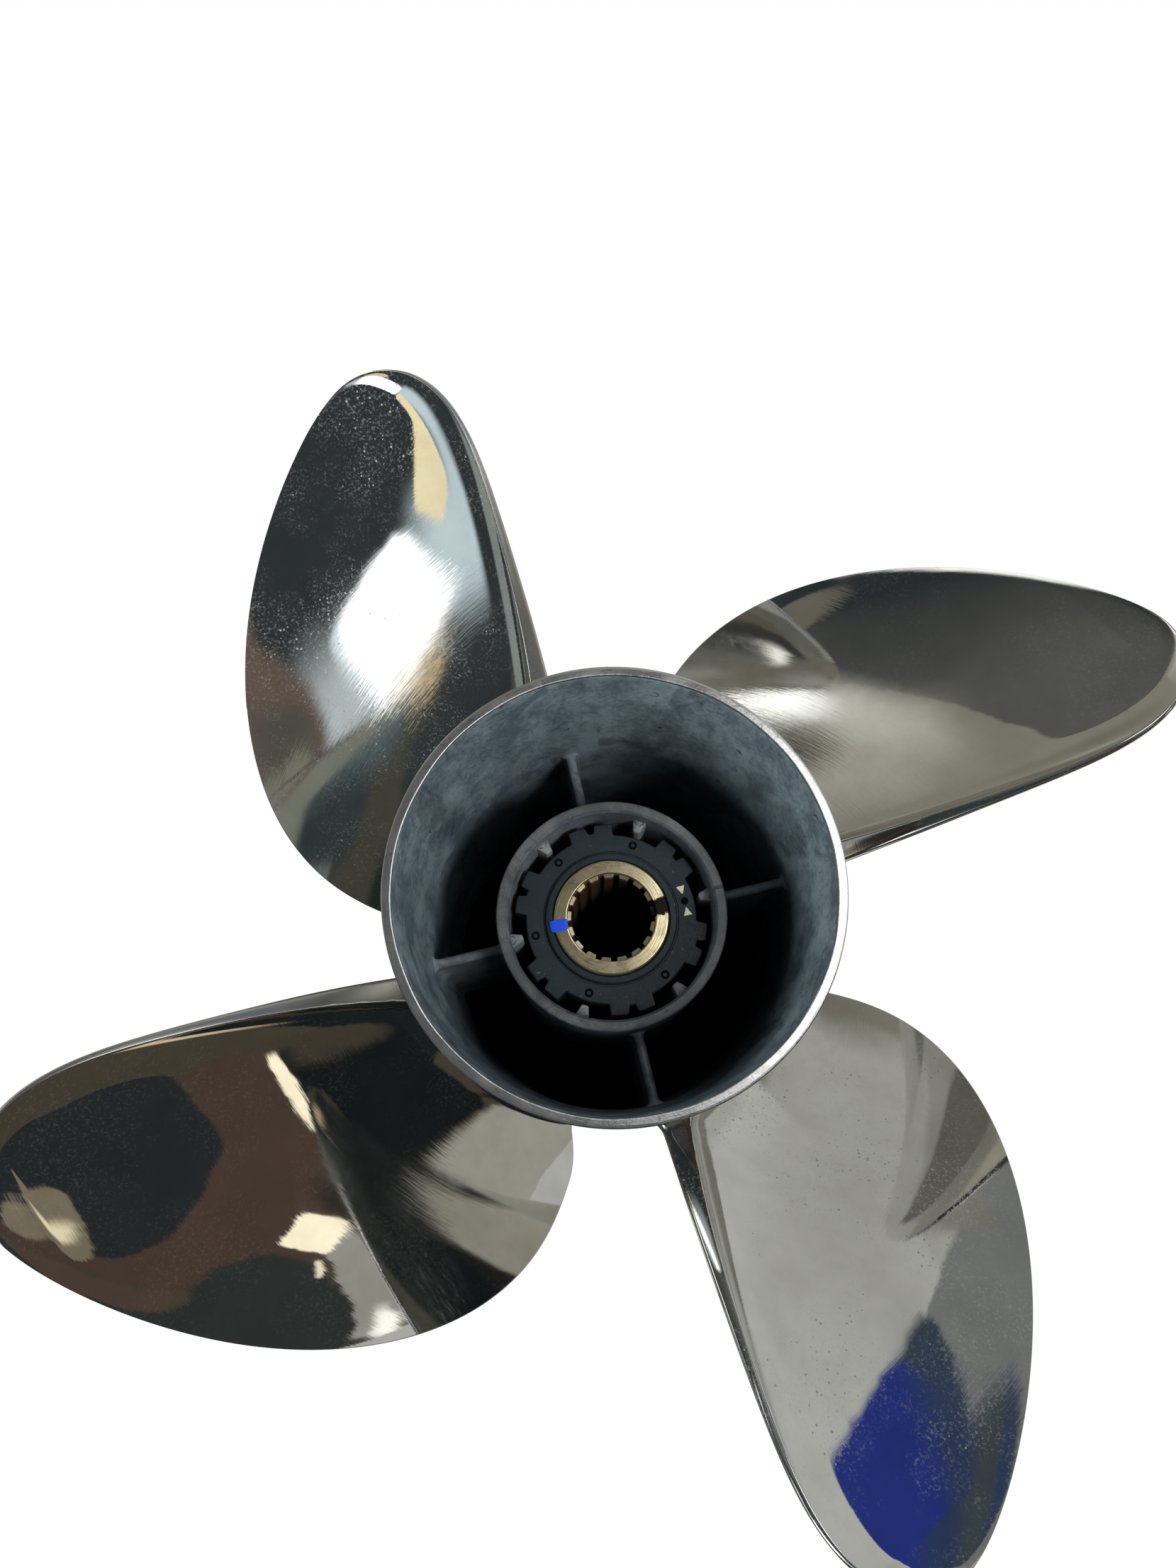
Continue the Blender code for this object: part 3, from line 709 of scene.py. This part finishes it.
class Graph:
    """Short calls for the nodes of one material or world."""

    def __init__(self, tree):
        self.tree = tree

    def add(self, kind, inputs=(), **settings):
        node = self.tree.nodes.new(kind)
        for key, value in settings.items():
            setattr(node, key, value)
        for key, value in dict(inputs).items():
            self.put(node.inputs[key], value)
        return node

    def put(self, socket, value):
        if isinstance(value, bpy.types.NodeSocket):
            self.tree.links.new(value, socket)
        elif socket.type == "RGBA":
            socket.default_value = (*value, 1)
        else:
            socket.default_value = value

    def math(self, operation, a, b=0, clamp=False):
        return self.add("ShaderNodeMath", {0: a, 1: b}, operation=operation, use_clamp=clamp).outputs[0]

    def plus(self, a, b):
        return self.math("ADD", a, b)

    def minus(self, a, b):
        return self.math("SUBTRACT", a, b)

    def times(self, a, b):
        return self.math("MULTIPLY", a, b)

    def mix(self, factor, a, b):
        inputs = {0: factor, 6: a, 7: b}
        return self.add("ShaderNodeMix", inputs, data_type="RGBA").outputs[2]

    def ramp(self, value, low, high, to=(0, 1), curve="SMOOTHSTEP"):
        inputs = {"Value": value, "From Min": low, "From Max": high, "To Min": to[0], "To Max": to[1]}
        return self.add("ShaderNodeMapRange", inputs, interpolation_type=curve).outputs[0]

    def noise(self, vector, scale, detail=3, rough=0.5, distort=0, output=0):
        """Noise as one value, or with output 1 as three."""
        node = self.add("ShaderNodeTexNoise", {"Vector": vector, "Scale": scale, "Detail": detail,
                                               "Roughness": rough, "Distortion": distort})
        return node.outputs[output]

    def vector(self, operation, a, b=(0, 0, 0)):
        return self.add("ShaderNodeVectorMath", {0: a, 1: b}, operation=operation).outputs[0]

    def scaled(self, vector, factors):
        return self.vector("MULTIPLY", vector, factors)

    def length(self, vector):
        return self.add("ShaderNodeVectorMath", {0: vector}, operation="LENGTH").outputs["Value"]

    def split(self, vector):
        return self.add("ShaderNodeSeparateXYZ", {0: vector}).outputs

    def joined(self, x, y, z=0):
        return self.add("ShaderNodeCombineXYZ", {0: x, 1: y, 2: z}).outputs[0]

    def bump(self, height, distance, strength):
        inputs = {"Height": height, "Distance": distance, "Strength": strength}
        return self.add("ShaderNodeBump", inputs).outputs[0]

    def place(self):
        return self.add("ShaderNodeTexCoord").outputs["Object"]

    def point_value(self, name):
        return self.add("ShaderNodeAttribute", attribute_name=name).outputs["Fac"]

    def camera_ray(self):
        return self.add("ShaderNodeLightPath").outputs["Is Camera Ray"]

    def background(self, color):
        return self.add("ShaderNodeBackground", {"Color": color, "Strength": 1}).outputs[0]

    def either(self, factor, a, b):
        return self.add("ShaderNodeMixShader", {0: factor, 1: a, 2: b}).outputs[0]


SOCKETS = {"color": "Base Color", "metallic": "Metallic", "rough": "Roughness", "normal": "Normal",
           "specular": "Specular IOR Level", "glow": "Emission Strength", "glow_color": "Emission Color"}


class Surface(Graph):
    """The graph of a material with one Principled shader."""

    def __init__(self, name):
        self.material = bpy.data.materials.new(name)
        self.material.use_nodes = True
        super().__init__(self.material.node_tree)

    def fill(self, **values):
        shader = self.tree.nodes["Principled BSDF"]
        for name, value in values.items():
            self.put(shader.inputs[SOCKETS[name]], value)
        return self.material


def darker(color, share):
    return tuple(c * share for c in color)


def around_axis(graph):
    """Object coordinates, the same as (radius, angle, height) about the axis, and the height."""
    place = graph.place()
    split = graph.split(place)
    radius = graph.length(graph.joined(split[0], split[1]))
    angle = graph.math("ARCTAN2", split[1], split[0])
    return place, graph.joined(radius, angle, split[2]), split[2]


def polished_steel():
    """Mirror-polished stainless: fine polishing lines, light haze, dust specks and small pits.

    The blades' points carry the values strip, wear, brushed and pit. The barrel has none of them.
    """
    graph = Surface("polished_stainless")
    place, turned, _ = around_axis(graph)
    strip, wear = graph.point_value("strip"), graph.point_value("wear")
    brushed, pit = graph.point_value("brushed"), graph.point_value("pit")
    lines = graph.noise(graph.scaled(turned, (1300, 7, 40)), 1, 3, 0.7)
    hazy = graph.ramp(graph.noise(place, 22, 3, 0.55), 0.50, 0.72)

    # Specks sit in cells with their own sizes, crowded where a broad noise is high
    crowd = graph.times(graph.ramp(graph.noise(place, 34, 4, 0.7), 0.38, 0.62), wear)
    grain = graph.ramp(graph.noise(place, 1100, 2, 0.7), 0.50, 0.72)
    grain = graph.times(graph.times(grain, crowd), 0.36)
    cells = graph.add("ShaderNodeTexVoronoi", {"Vector": place, "Scale": 760, "Randomness": 1})
    size = graph.add("ShaderNodeSeparateColor", {0: cells.outputs["Color"]}).outputs[0]
    reach = graph.times(graph.math("POWER", size, 2.8), graph.times(crowd, 0.44))
    dots = graph.ramp(graph.minus(reach, cells.outputs["Distance"]), 0, 0.12)
    spots = graph.math("MAXIMUM", grain, dots)

    cloud = graph.ramp(graph.noise(place, 60, 3, 0.65), 0.3, 0.75)
    steel = graph.mix(cloud, (0.66, 0.655, 0.64), (0.58, 0.575, 0.555))
    speck = graph.mix(pit, (0.38, 0.38, 0.37), (0.15, 0.15, 0.145))
    rough = graph.plus(0.022, graph.times(hazy, 0.025))
    rough = graph.plus(rough, graph.times(graph.times(lines, hazy), 0.06))
    rough = graph.plus(rough, graph.times(graph.times(lines, brushed), 0.10))
    rough = graph.plus(rough, graph.times(spots, 0.35))
    rough = graph.math("ADD", rough, strip, clamp=True)
    ridge = graph.plus(graph.times(hazy, 0.4), graph.times(brushed, 1.15))
    return graph.fill(
        color=graph.mix(graph.times(spots, 0.8), steel, speck),
        metallic=graph.minus(1, graph.times(spots, 0.75)),
        rough=rough,
        normal=graph.bump(lines, 0.05 * MM, graph.plus(ridge, 0.06)))


def satin_rim():
    """The barrel's machined end: turned lines and small nicks."""
    graph = Surface("machined_rim")
    place, turned, _ = around_axis(graph)
    lines = graph.noise(graph.scaled(turned, (5200, 6, 40)), 1, 3, 0.6)
    spots = graph.ramp(graph.noise(place, 420, 3, 0.6), 0.60, 0.74)
    steel = graph.mix(lines, (0.58, 0.58, 0.57), (0.76, 0.76, 0.75))
    relief = graph.plus(lines, graph.noise(place, 900, 2))
    return graph.fill(
        color=graph.mix(graph.times(spots, 0.6), steel, (0.30, 0.29, 0.28)),
        metallic=1,
        rough=graph.ramp(graph.noise(place, 160, 3), 0.3, 0.7, to=(0.12, 0.24)),
        normal=graph.bump(relief, 0.03 * MM, 0.6))


def cast_steel(name, dark, light, metallic, rough, painted_shade_end=None):
    """Cast steel inside the hub: a blotched grey with pores, and painted shade darkest at the height of
    the last argument, if given.
    """
    graph = Surface(name)
    place, _, height = around_axis(graph)
    cloud = graph.noise(graph.scaled(place, (1, 1, 0.55)), 75, 6, 0.64)
    fine = graph.noise(place, 700, 3, 0.65)
    blend = graph.plus(graph.times(cloud, 0.7), graph.times(fine, 0.3))
    color = graph.mix(graph.ramp(blend, 0.38, 0.64), dark, light)
    scuff = graph.noise(graph.scaled(place, (1, 1, 0.45)), 38, 4, 0.7, 1.2)
    scuff = graph.times(graph.ramp(scuff, 0.55, 0.64), 0.5)
    color = graph.mix(scuff, color, darker(dark, 0.45))
    pores = graph.noise(graph.scaled(place, (1, 1, 0.6)), 260, 2, 0.5, 1.5)
    pores = graph.times(graph.ramp(pores, 0.70, 0.76), 0.8)
    color = graph.mix(pores, color, (0.02, 0.022, 0.025))
    # Painted shade: the colour darkens deeper into the bore, from 12 mm below the rim down to the given
    # height
    if painted_shade_end is not None:
        deep = graph.ramp(height, BARREL_LENGTH - 12 * MM, painted_shade_end, curve="LINEAR")
        deep = graph.times(graph.math("POWER", deep, 1.4), 0.3)
        color = graph.mix(deep, color, (0.004, 0.006, 0.008))
    return graph.fill(
        color=color, metallic=metallic,
        rough=graph.ramp(fine, 0.3, 0.7, to=(rough - 0.08, rough + 0.12)),
        normal=graph.bump(fine, 0.09 * MM, 0.6))


def composite_black():
    """Moulded black composite with a little dust."""
    graph = Surface("black_composite")
    place = graph.place()
    fine = graph.noise(place, 1500, 4, 0.65)
    cloud = graph.noise(place, 120, 3, 0.6)
    dust = graph.ramp(graph.noise(place, 800, 2, 0.5), 0.70, 0.78)
    black = graph.mix(cloud, (0.008, 0.013, 0.016), (0.019, 0.029, 0.034))
    return graph.fill(
        color=graph.mix(graph.times(dust, 0.5), black, (0.20, 0.21, 0.22)),
        rough=graph.ramp(fine, 0.3, 0.7, to=(0.38, 0.62)),
        normal=graph.bump(fine, 0.05 * MM, 0.5))


def bronze_metal():
    """Turned bronze: fine circular lines, nicks, painted shade below the face and down the spline bore,
    and the black ink stroke.
    """
    graph = Surface("bronze")
    place, turned, height = around_axis(graph)
    lines = graph.noise(graph.scaled(turned, (2600, 3, 100)), 1, 3, 0.6)
    cloud = graph.noise(place, 240, 4, 0.65)
    color = graph.mix(lines, (0.58, 0.49, 0.30), (0.82, 0.71, 0.45))
    color = graph.mix(graph.ramp(cloud, 0.45, 0.7), color, (0.50, 0.42, 0.27))
    # Painted shade: darker just below the aft face and more so deeper down the spline bore, and less
    # metallic there
    ledge = graph.times(graph.ramp(height, BUSH_AFT - 0.15 * MM, BUSH_AFT - 0.45 * MM), 0.6)
    deep = graph.ramp(height, BUSH_AFT - 0.6 * MM, BUSH_AFT - 4 * MM)
    dark = graph.math("MAXIMUM", ledge, deep)
    color = graph.mix(dark, color, (0.10, 0.062, 0.032))
    return graph.fill(
        color=graph.mix(ink_stroke(graph, place), color, (0.012, 0.010, 0.010)),
        metallic=graph.minus(1, graph.times(dark, 0.6)),
        rough=graph.ramp(cloud, 0.3, 0.7, to=(0.10, 0.20)),
        normal=graph.bump(lines, 0.03 * MM, 0.4))


def ink_stroke(graph, place):
    """A broken black pen stroke across the bush's face, on the right."""
    split = graph.split(place)
    tilt = graph.plus(split[1], graph.times(split[0], -INK_SLOPE))
    off = graph.math("ABSOLUTE", graph.plus(tilt, INK_BELOW_AXIS))
    ragged = graph.minus(graph.noise(place, 700, 3, 0.7), 0.5)
    off = graph.plus(off, graph.times(ragged, INK_RAGGED))
    return graph.times(graph.ramp(off, *INK_HALF_WIDTH), graph.ramp(split[0], *INK_START))


def paint(name, color, rough, specular=0.5):
    graph = Surface(name)
    cloud = graph.noise(graph.place(), 900, 3, 0.6)
    return graph.fill(
        color=graph.mix(cloud, darker(color, 0.72), color), specular=specular,
        rough=graph.ramp(cloud, 0.3, 0.7, to=(rough - 0.08, rough + 0.1)),
        normal=graph.bump(cloud, 0.08 * MM, 0.5))


# Stage, light and camera

# The room, as the mirror shows it. Angles are in degrees, azimuth from +X and elevation from the
# floor, and colours are display values seen in the steel.
ROOM_BASE = (60, 58, 52)
WALLS = (
    # azimuth where the wall starts, colour above, colour below, elevation of the change
    (0, (164, 165, 161), (150, 151, 146), -20),
    (66, (148, 149, 143), (108, 112, 103), -15),
    (98, (119, 117, 107), (112, 114, 110), -24),
    (150, (119, 117, 107), (138, 142, 130), -9),
    (184, (44, 49, 51), (120, 128, 126), -4),
    (208, (44, 49, 51), (74, 74, 66), 0),
    (248, (44, 49, 51), (34, 40, 38), -9),
    (286, (62, 57, 48), (30, 32, 30), -14),
    (306, (62, 57, 48), (160, 158, 146), -12.5),
    (350, (70, 60, 52), (142, 142, 133), 12),
)
PANELS = (
    # azimuth, elevation, half width, half height, lean, corner, softness, red, green, blue, and the
    # strength where it isn't 1
    # the table below, seen after a second mirroring
    (24, -32, 20, 9, 28, .4, .09, 104, 104, 98),
    (106, -31, 16, 5, 16, .6, .3, 62, 64, 61),
    (91, -35, 9, 8, 0, .6, .3, 100, 97, 86),
    (143, -23, 6, 4, 0, .8, .7, 166, 168, 164),
    (120, -24.6, 7, .6, 28, .8, .7, 255, 255, 250, 1.5),
    (133, -10, 9, 4, 30, .8, .7, 150, 150, 146),
    (200, -27, 20, 4, 14, .5, .2, 58, 68, 70),
    (203, -20, 18, 2.2, 24, .8, .6, 92, 110, 118),
    (296.5, -22, 37, 10, 36, .35, .04, 24, 28, 29),
    (262, -24, 20, 12, 0, .5, .2, 36, 42, 40),
    (286, -13, 7, 2, 0, .8, .6, 196, 176, 146),
    (364, -32, 14, 8, -20, .8, .5, 128, 128, 120),
    # seen in the lower right blade: pale wall, blue hanging, grey door
    (60, 8, 17, 15, 0, .9, .9, 147, 148, 142),
    (100, 2, 7, 9, 0, .9, .9, 104, 102, 92),
    (78, 33, 21, 9.2, 0, .2, .03, 105, 107, 106),
    (53, 36, 6, 12.4, 0, .3, .08, 50, 60, 66),
    (66, 40, 18, 5.4, 0, .4, .08, 54, 62, 68),
    (41, 38, 10.5, 14.6, 0, .3, .05, 34, 46, 112),
    (53, 37, 5, 10, 0, .8, .9, 40, 52, 80),
    (76, 39, 4, 4, 0, .8, .6, 42, 54, 84),
    (76, 23.5, 7, 1.4, 24, .8, .6, 112, 110, 102),
    # seen in the upper right blade: grey patches and bright strips
    (140, 38, 44, 17.5, 0, .2, .02, 79, 79, 76),
    (152, 34, 18, 14, 0, .9, .9, 56, 58, 57),
    (172, 37, 17, 6, -6, .8, .6, 38, 43, 46),
    (172.5, 31.4, 5.4, 4.4, 0, .8, .1, 94, 92, 82),
    (133, 5, 10, 11, -20, .9, .9, 150, 149, 137),
    (150, 4, 9, 6, 25, .8, .6, 72, 70, 62),
    (146, 15, 15, 4.4, 6, .9, .9, 180, 180, 172),
    (163, 16, 13, 3.6, 8, .8, .5, 250, 252, 248, 1.15),
    (170, 41.2, 11, .9, -20, .8, .8, 235, 236, 232, 1.2),
    # seen in the upper left blade: the window, with pale and brown patches round it
    (206, 26.5, 12, 9, 0, .9, .5, 176, 192, 198, 1.1),
    (203, 36.8, 8, 3, -30, .3, .06, 228, 216, 178),
    (252, 31, 12, 6.5, 4, .9, .9, 176, 186, 188),
    (272, 38.9, 15.5, 6, 14, .7, .2, 92, 79, 71),
    (272, 37, 11, 3.4, 8, .8, .5, 76, 74, 68),
    (279, 34.4, 12, 1.8, 6, .6, .2, 114, 114, 101),
    (230, 29.8, 15.5, 7.8, 3, .35, .09, 215, 228, 234),
    (229, 29.8, 13, 7.3, 3, .3, .08, 255, 255, 255, 1.8),
    (234, 20.6, 9, 2.2, 16, .6, .09, 206, 187, 146),
    # seen in the lower left blade: brown and dark patches with small bright ones
    (326, 22, 16, 6.2, 0, .3, .09, 66, 54, 47),
    (336, 34, 14, 14, 0, .5, .09, 68, 55, 48),
    (313, 38, 11.5, 10.8, 0, .3, .04, 35, 38, 40),
    (326, 41, 13.5, 6.5, 48, .3, .06, 35, 38, 40),
    (361, 36, 17, 5.6, 0, .8, .07, 42, 46, 45),
    (329, 50.4, 15, 3.6, 3, .3, .05, 112, 104, 88),
    (331, 49.4, 5, 1.2, 8, .8, .7, 226, 214, 180),
    (344, 21.8, 6, 2.4, 12, .4, .12, 48, 42, 37),
    (361, 27.8, 13, 2.6, 8, .3, .06, 140, 140, 132),
    (372, 29.6, 4, .8, 10, .8, .5, 240, 240, 232, 1.1),
    (346, 27.6, 3.9, 2.9, -20, .3, .06, 240, 231, 202, 1.1),
    (352.5, 30.6, 1.8, .4, 20, .6, .2, 226, 218, 192),
    (331, 3, 17.5, 11.5, 0, .2, .04, 20, 24, 25),
    (314, 3, 5, 9, 0, .6, .3, 58, 54, 45),
    (322, 15.4, 8.4, 1.2, 5, .5, .09, 240, 230, 200, 1.1),
)
STEEL_REFLECTANCE = 0.62
ROOM_SEAM = 15
WALL_BLEND = 1.5
LEVEL_BLEND = 2
SECTOR_WIDTH = 40
EVERYWHERE = 999
WANDER = (2.6, 2.2, 0)
OVERHEAD_FROM, OVERHEAD_TO = 56, 66
OVERHEAD_COLOR = (0.12, 0.125, 0.13)
WHITE = (1, 1, 1)
FLOOR_COLOR = (0.82, 0.82, 0.81)
FLOOR_RADIUS = 6
# Painted shade: a near-black disc on the floor under the barrel's bore, where the barrel keeps the light
# off
PAINTED_SHADE_DISC_RADIUS = 58.5 * MM
PAINTED_SHADE_DISC_HEIGHT = 0.3 * MM
LIT_POINT = Vector((0, 0, 0.1))
LIGHTS = (
    # name, azimuth, elevation, distance, size, power, colour, whether the steel mirrors it
    ("ceiling", 27, 72, 2.2, 1, 4.7, (1, 1, 1), True),
    ("fill_right", -30, 55, 2, 0.6, 31, (0.92, 0.97, 1), False),
    ("fill_left", 192, 25, 2, 1, 20, (0.90, 0.97, 1), False),
    ("fill_front", 262, 30, 2, 1, 3, (0.92, 0.97, 1), False),
)


def room_light(color, strength=1):
    """Linear light that the steel shows as this display colour, from 0 to 255."""
    shown = [value / 255 for value in color]
    straight = [v / 12.92 if v <= 0.04045 else ((v + 0.055) / 1.055) ** 2.4 for v in shown]
    return [value * strength / STEEL_REFLECTANCE for value in straight]


def sector_shader(graph, angles, azimuth, elevation, low, high):
    """The room between two azimuths, with only the walls and panels that reach in there."""
    walls = [wall for wall in WALLS if wall[0] - WALL_BLEND < high]
    settled = [wall for wall in walls if wall[0] + WALL_BLEND <= low]
    color = room_light(ROOM_BASE)
    for start, above, below, change in walls[max(0, len(settled) - 1):]:
        level = graph.ramp(elevation, change - LEVEL_BLEND, change + LEVEL_BLEND)
        color = graph.mix(graph.ramp(azimuth, start - WALL_BLEND, start + WALL_BLEND), color,
                          graph.mix(level, room_light(below), room_light(above)))
    for place_az, place_el, wide, tall, lean, round_share, soft, *tone in PANELS:
        lean = math.radians(lean)
        reach = (abs(wide * math.cos(lean)) + abs(tall * math.sin(lean))) * (1 + soft)
        if place_az + reach < low or place_az - reach > high:
            continue
        bend = max(round_share, soft)
        mapped = graph.add("ShaderNodeMapping", {
            "Vector": angles, "Location": (place_az, place_el, 0),
            "Rotation": (0, 0, lean), "Scale": (wide, tall, 1)},
            vector_type="TEXTURE").outputs[0]
        outside = graph.vector("SUBTRACT", graph.vector("ABSOLUTE", mapped), (1 - bend, 1 - bend, 0))
        away = graph.length(graph.vector("MAXIMUM", outside, (0, 0, 0)))
        color = graph.mix(graph.ramp(away, bend + soft, bend - soft), color,
                          room_light(tone[:3], *tone[3:]))
    overhead = graph.ramp(elevation, OVERHEAD_FROM, OVERHEAD_TO)
    return graph.background(graph.mix(overhead, color, OVERHEAD_COLOR))


def make_world():
    """The room by azimuth and elevation, in sectors, so that a ray works out only its own sector."""
    world = bpy.data.worlds.new("studio")
    bpy.context.scene.world = world
    world.use_nodes = True
    graph = Graph(world.node_tree)
    direction = graph.add("ShaderNodeTexCoord").outputs["Generated"]
    split = graph.split(direction)
    azimuth = graph.times(graph.math("ARCTAN2", split[1], split[0]), 180 / math.pi)
    azimuth = graph.math("FLOORED_MODULO", graph.minus(azimuth, ROOM_SEAM), 360)
    elevation = graph.times(graph.math("ARCSINE", split[2]), 180 / math.pi)
    angles = graph.joined(graph.plus(azimuth, ROOM_SEAM), elevation)
    wander = graph.vector("SUBTRACT", graph.noise(direction, 11, 3, 0.65, output=1), (0.5, 0.5, 0.5))
    angles = graph.vector("ADD", angles, graph.scaled(wander, WANDER))
    azimuth, elevation, _ = graph.split(angles)
    starts = range(ROOM_SEAM, ROOM_SEAM + 360, SECTOR_WIDTH)
    room = None
    for start in starts:
        low = -EVERYWHERE if start == starts[0] else start
        high = EVERYWHERE if start == starts[-1] else start + SECTOR_WIDTH
        sector = sector_shader(graph, angles, azimuth, elevation, low, high)
        if room:
            sector = graph.either(graph.math("GREATER_THAN", azimuth, start), room, sector)
        room = sector
    room = graph.either(graph.camera_ray(), room, graph.background(WHITE))
    graph.put(world.node_tree.nodes["World Output"].inputs["Surface"], room)
    world.cycles.sampling_method = "MANUAL"
    world.cycles.sample_map_resolution = 256


def stage_disc(name, radius, height, material):
    bpy.ops.mesh.primitive_circle_add(vertices=96, radius=radius, fill_type="NGON",
                                      location=(0, 0, height))
    disc = bpy.context.object
    disc.name = name
    disc.data.materials.append(material)
    return disc


def make_floor():
    """A floor that the camera sees as white paper, and a disc of painted shade under the barrel's bore.
    """
    paper = Surface("floor")
    seen = paper.camera_ray()
    paper.fill(color=paper.mix(seen, FLOOR_COLOR, (0, 0, 0)), rough=0.9, specular=0,
               glow=seen, glow_color=WHITE)
    # The disc is painted shade for the floor inside the barrel, seen through the exhaust passages
    dark = Surface("painted_shade_disc")
    dark.fill(color=(0.004, 0.004, 0.005), rough=0.9, specular=0)
    floor = stage_disc("floor", FLOOR_RADIUS, 0, paper.material)
    disc = stage_disc("painted_shade_disc", PAINTED_SHADE_DISC_RADIUS, PAINTED_SHADE_DISC_HEIGHT, dark.material)
    floor.visible_glossy = False


def area_light(name, azimuth, elevation, distance, size, power, color, mirrored):
    """A round lamp that faces the hub, from this direction in degrees."""
    light = bpy.data.lights.new(name, "AREA")
    light.shape = "DISK"
    light.size = size
    light.energy = power
    light.color = color
    lamp = placed(name, light)
    a, e = math.radians(azimuth), math.radians(elevation)
    direction = Vector((math.cos(a) * math.cos(e), math.sin(a) * math.cos(e), math.sin(e)))
    lamp.location = direction * distance + LIT_POINT
    lamp.rotation_mode = "QUATERNION"
    lamp.rotation_quaternion = direction.to_track_quat("Z", "Y")
    lamp.visible_glossy = mirrored


def make_camera():
    data = bpy.data.cameras.new("camera")
    data.sensor_fit = "VERTICAL"
    data.sensor_height = SENSOR_HEIGHT
    data.lens = CAMERA_LENS
    data.clip_start, data.clip_end = CAMERA_CLIP
    camera = placed("camera", data)
    camera.location = CAMERA_PLACE
    camera.rotation_euler = [math.radians(value) for value in CAMERA_TILT]
    bpy.context.scene.camera = camera


def main():
    polished = polished_steel()
    rim = satin_rim()
    bell = cast_steel("cast_bell", (0.12, 0.155, 0.18), (0.31, 0.385, 0.42), 0.20, 0.5,
                      RIB_AFT + 4 * MM)
    cast = cast_steel("cast_hub", (0.10, 0.115, 0.125), (0.24, 0.26, 0.28), 0.30, 0.5)
    machined = cast_steel("machined_hub", (0.10, 0.105, 0.105), (0.19, 0.195, 0.195), 0.4, 0.45)
    lug_end = cast_steel("lug_ends", (0.20, 0.21, 0.22), (0.33, 0.34, 0.35), 0.3, 0.5)
    composite = composite_black()
    shade = paint("mark_shade", (0.004, 0.005, 0.006), 0.5, 0.02)
    bronze = bronze_metal()
    gold = paint("gold_mark", (0.95, 0.88, 0.62), 0.45)
    blue = paint("blue_paint", (0.008, 0.09, 0.85), 0.42)
    make_barrel(polished, rim, bell)
    make_tube(cast, machined)
    for i in range(RIB_COUNT):
        make_rib(i, cast)
    for i in range(LUG_COUNT):
        make_lug(i, lug_end)
    for i in range(len(BLADES)):
        make_blade(i, polished)
    make_sleeve(composite)
    make_bush(bronze)
    make_marks(shade, gold, blue)
    make_floor()
    make_world()
    for light in LIGHTS:
        area_light(*light)
    make_camera()
    bpy.context.scene.view_settings.view_transform = "Standard"


main()
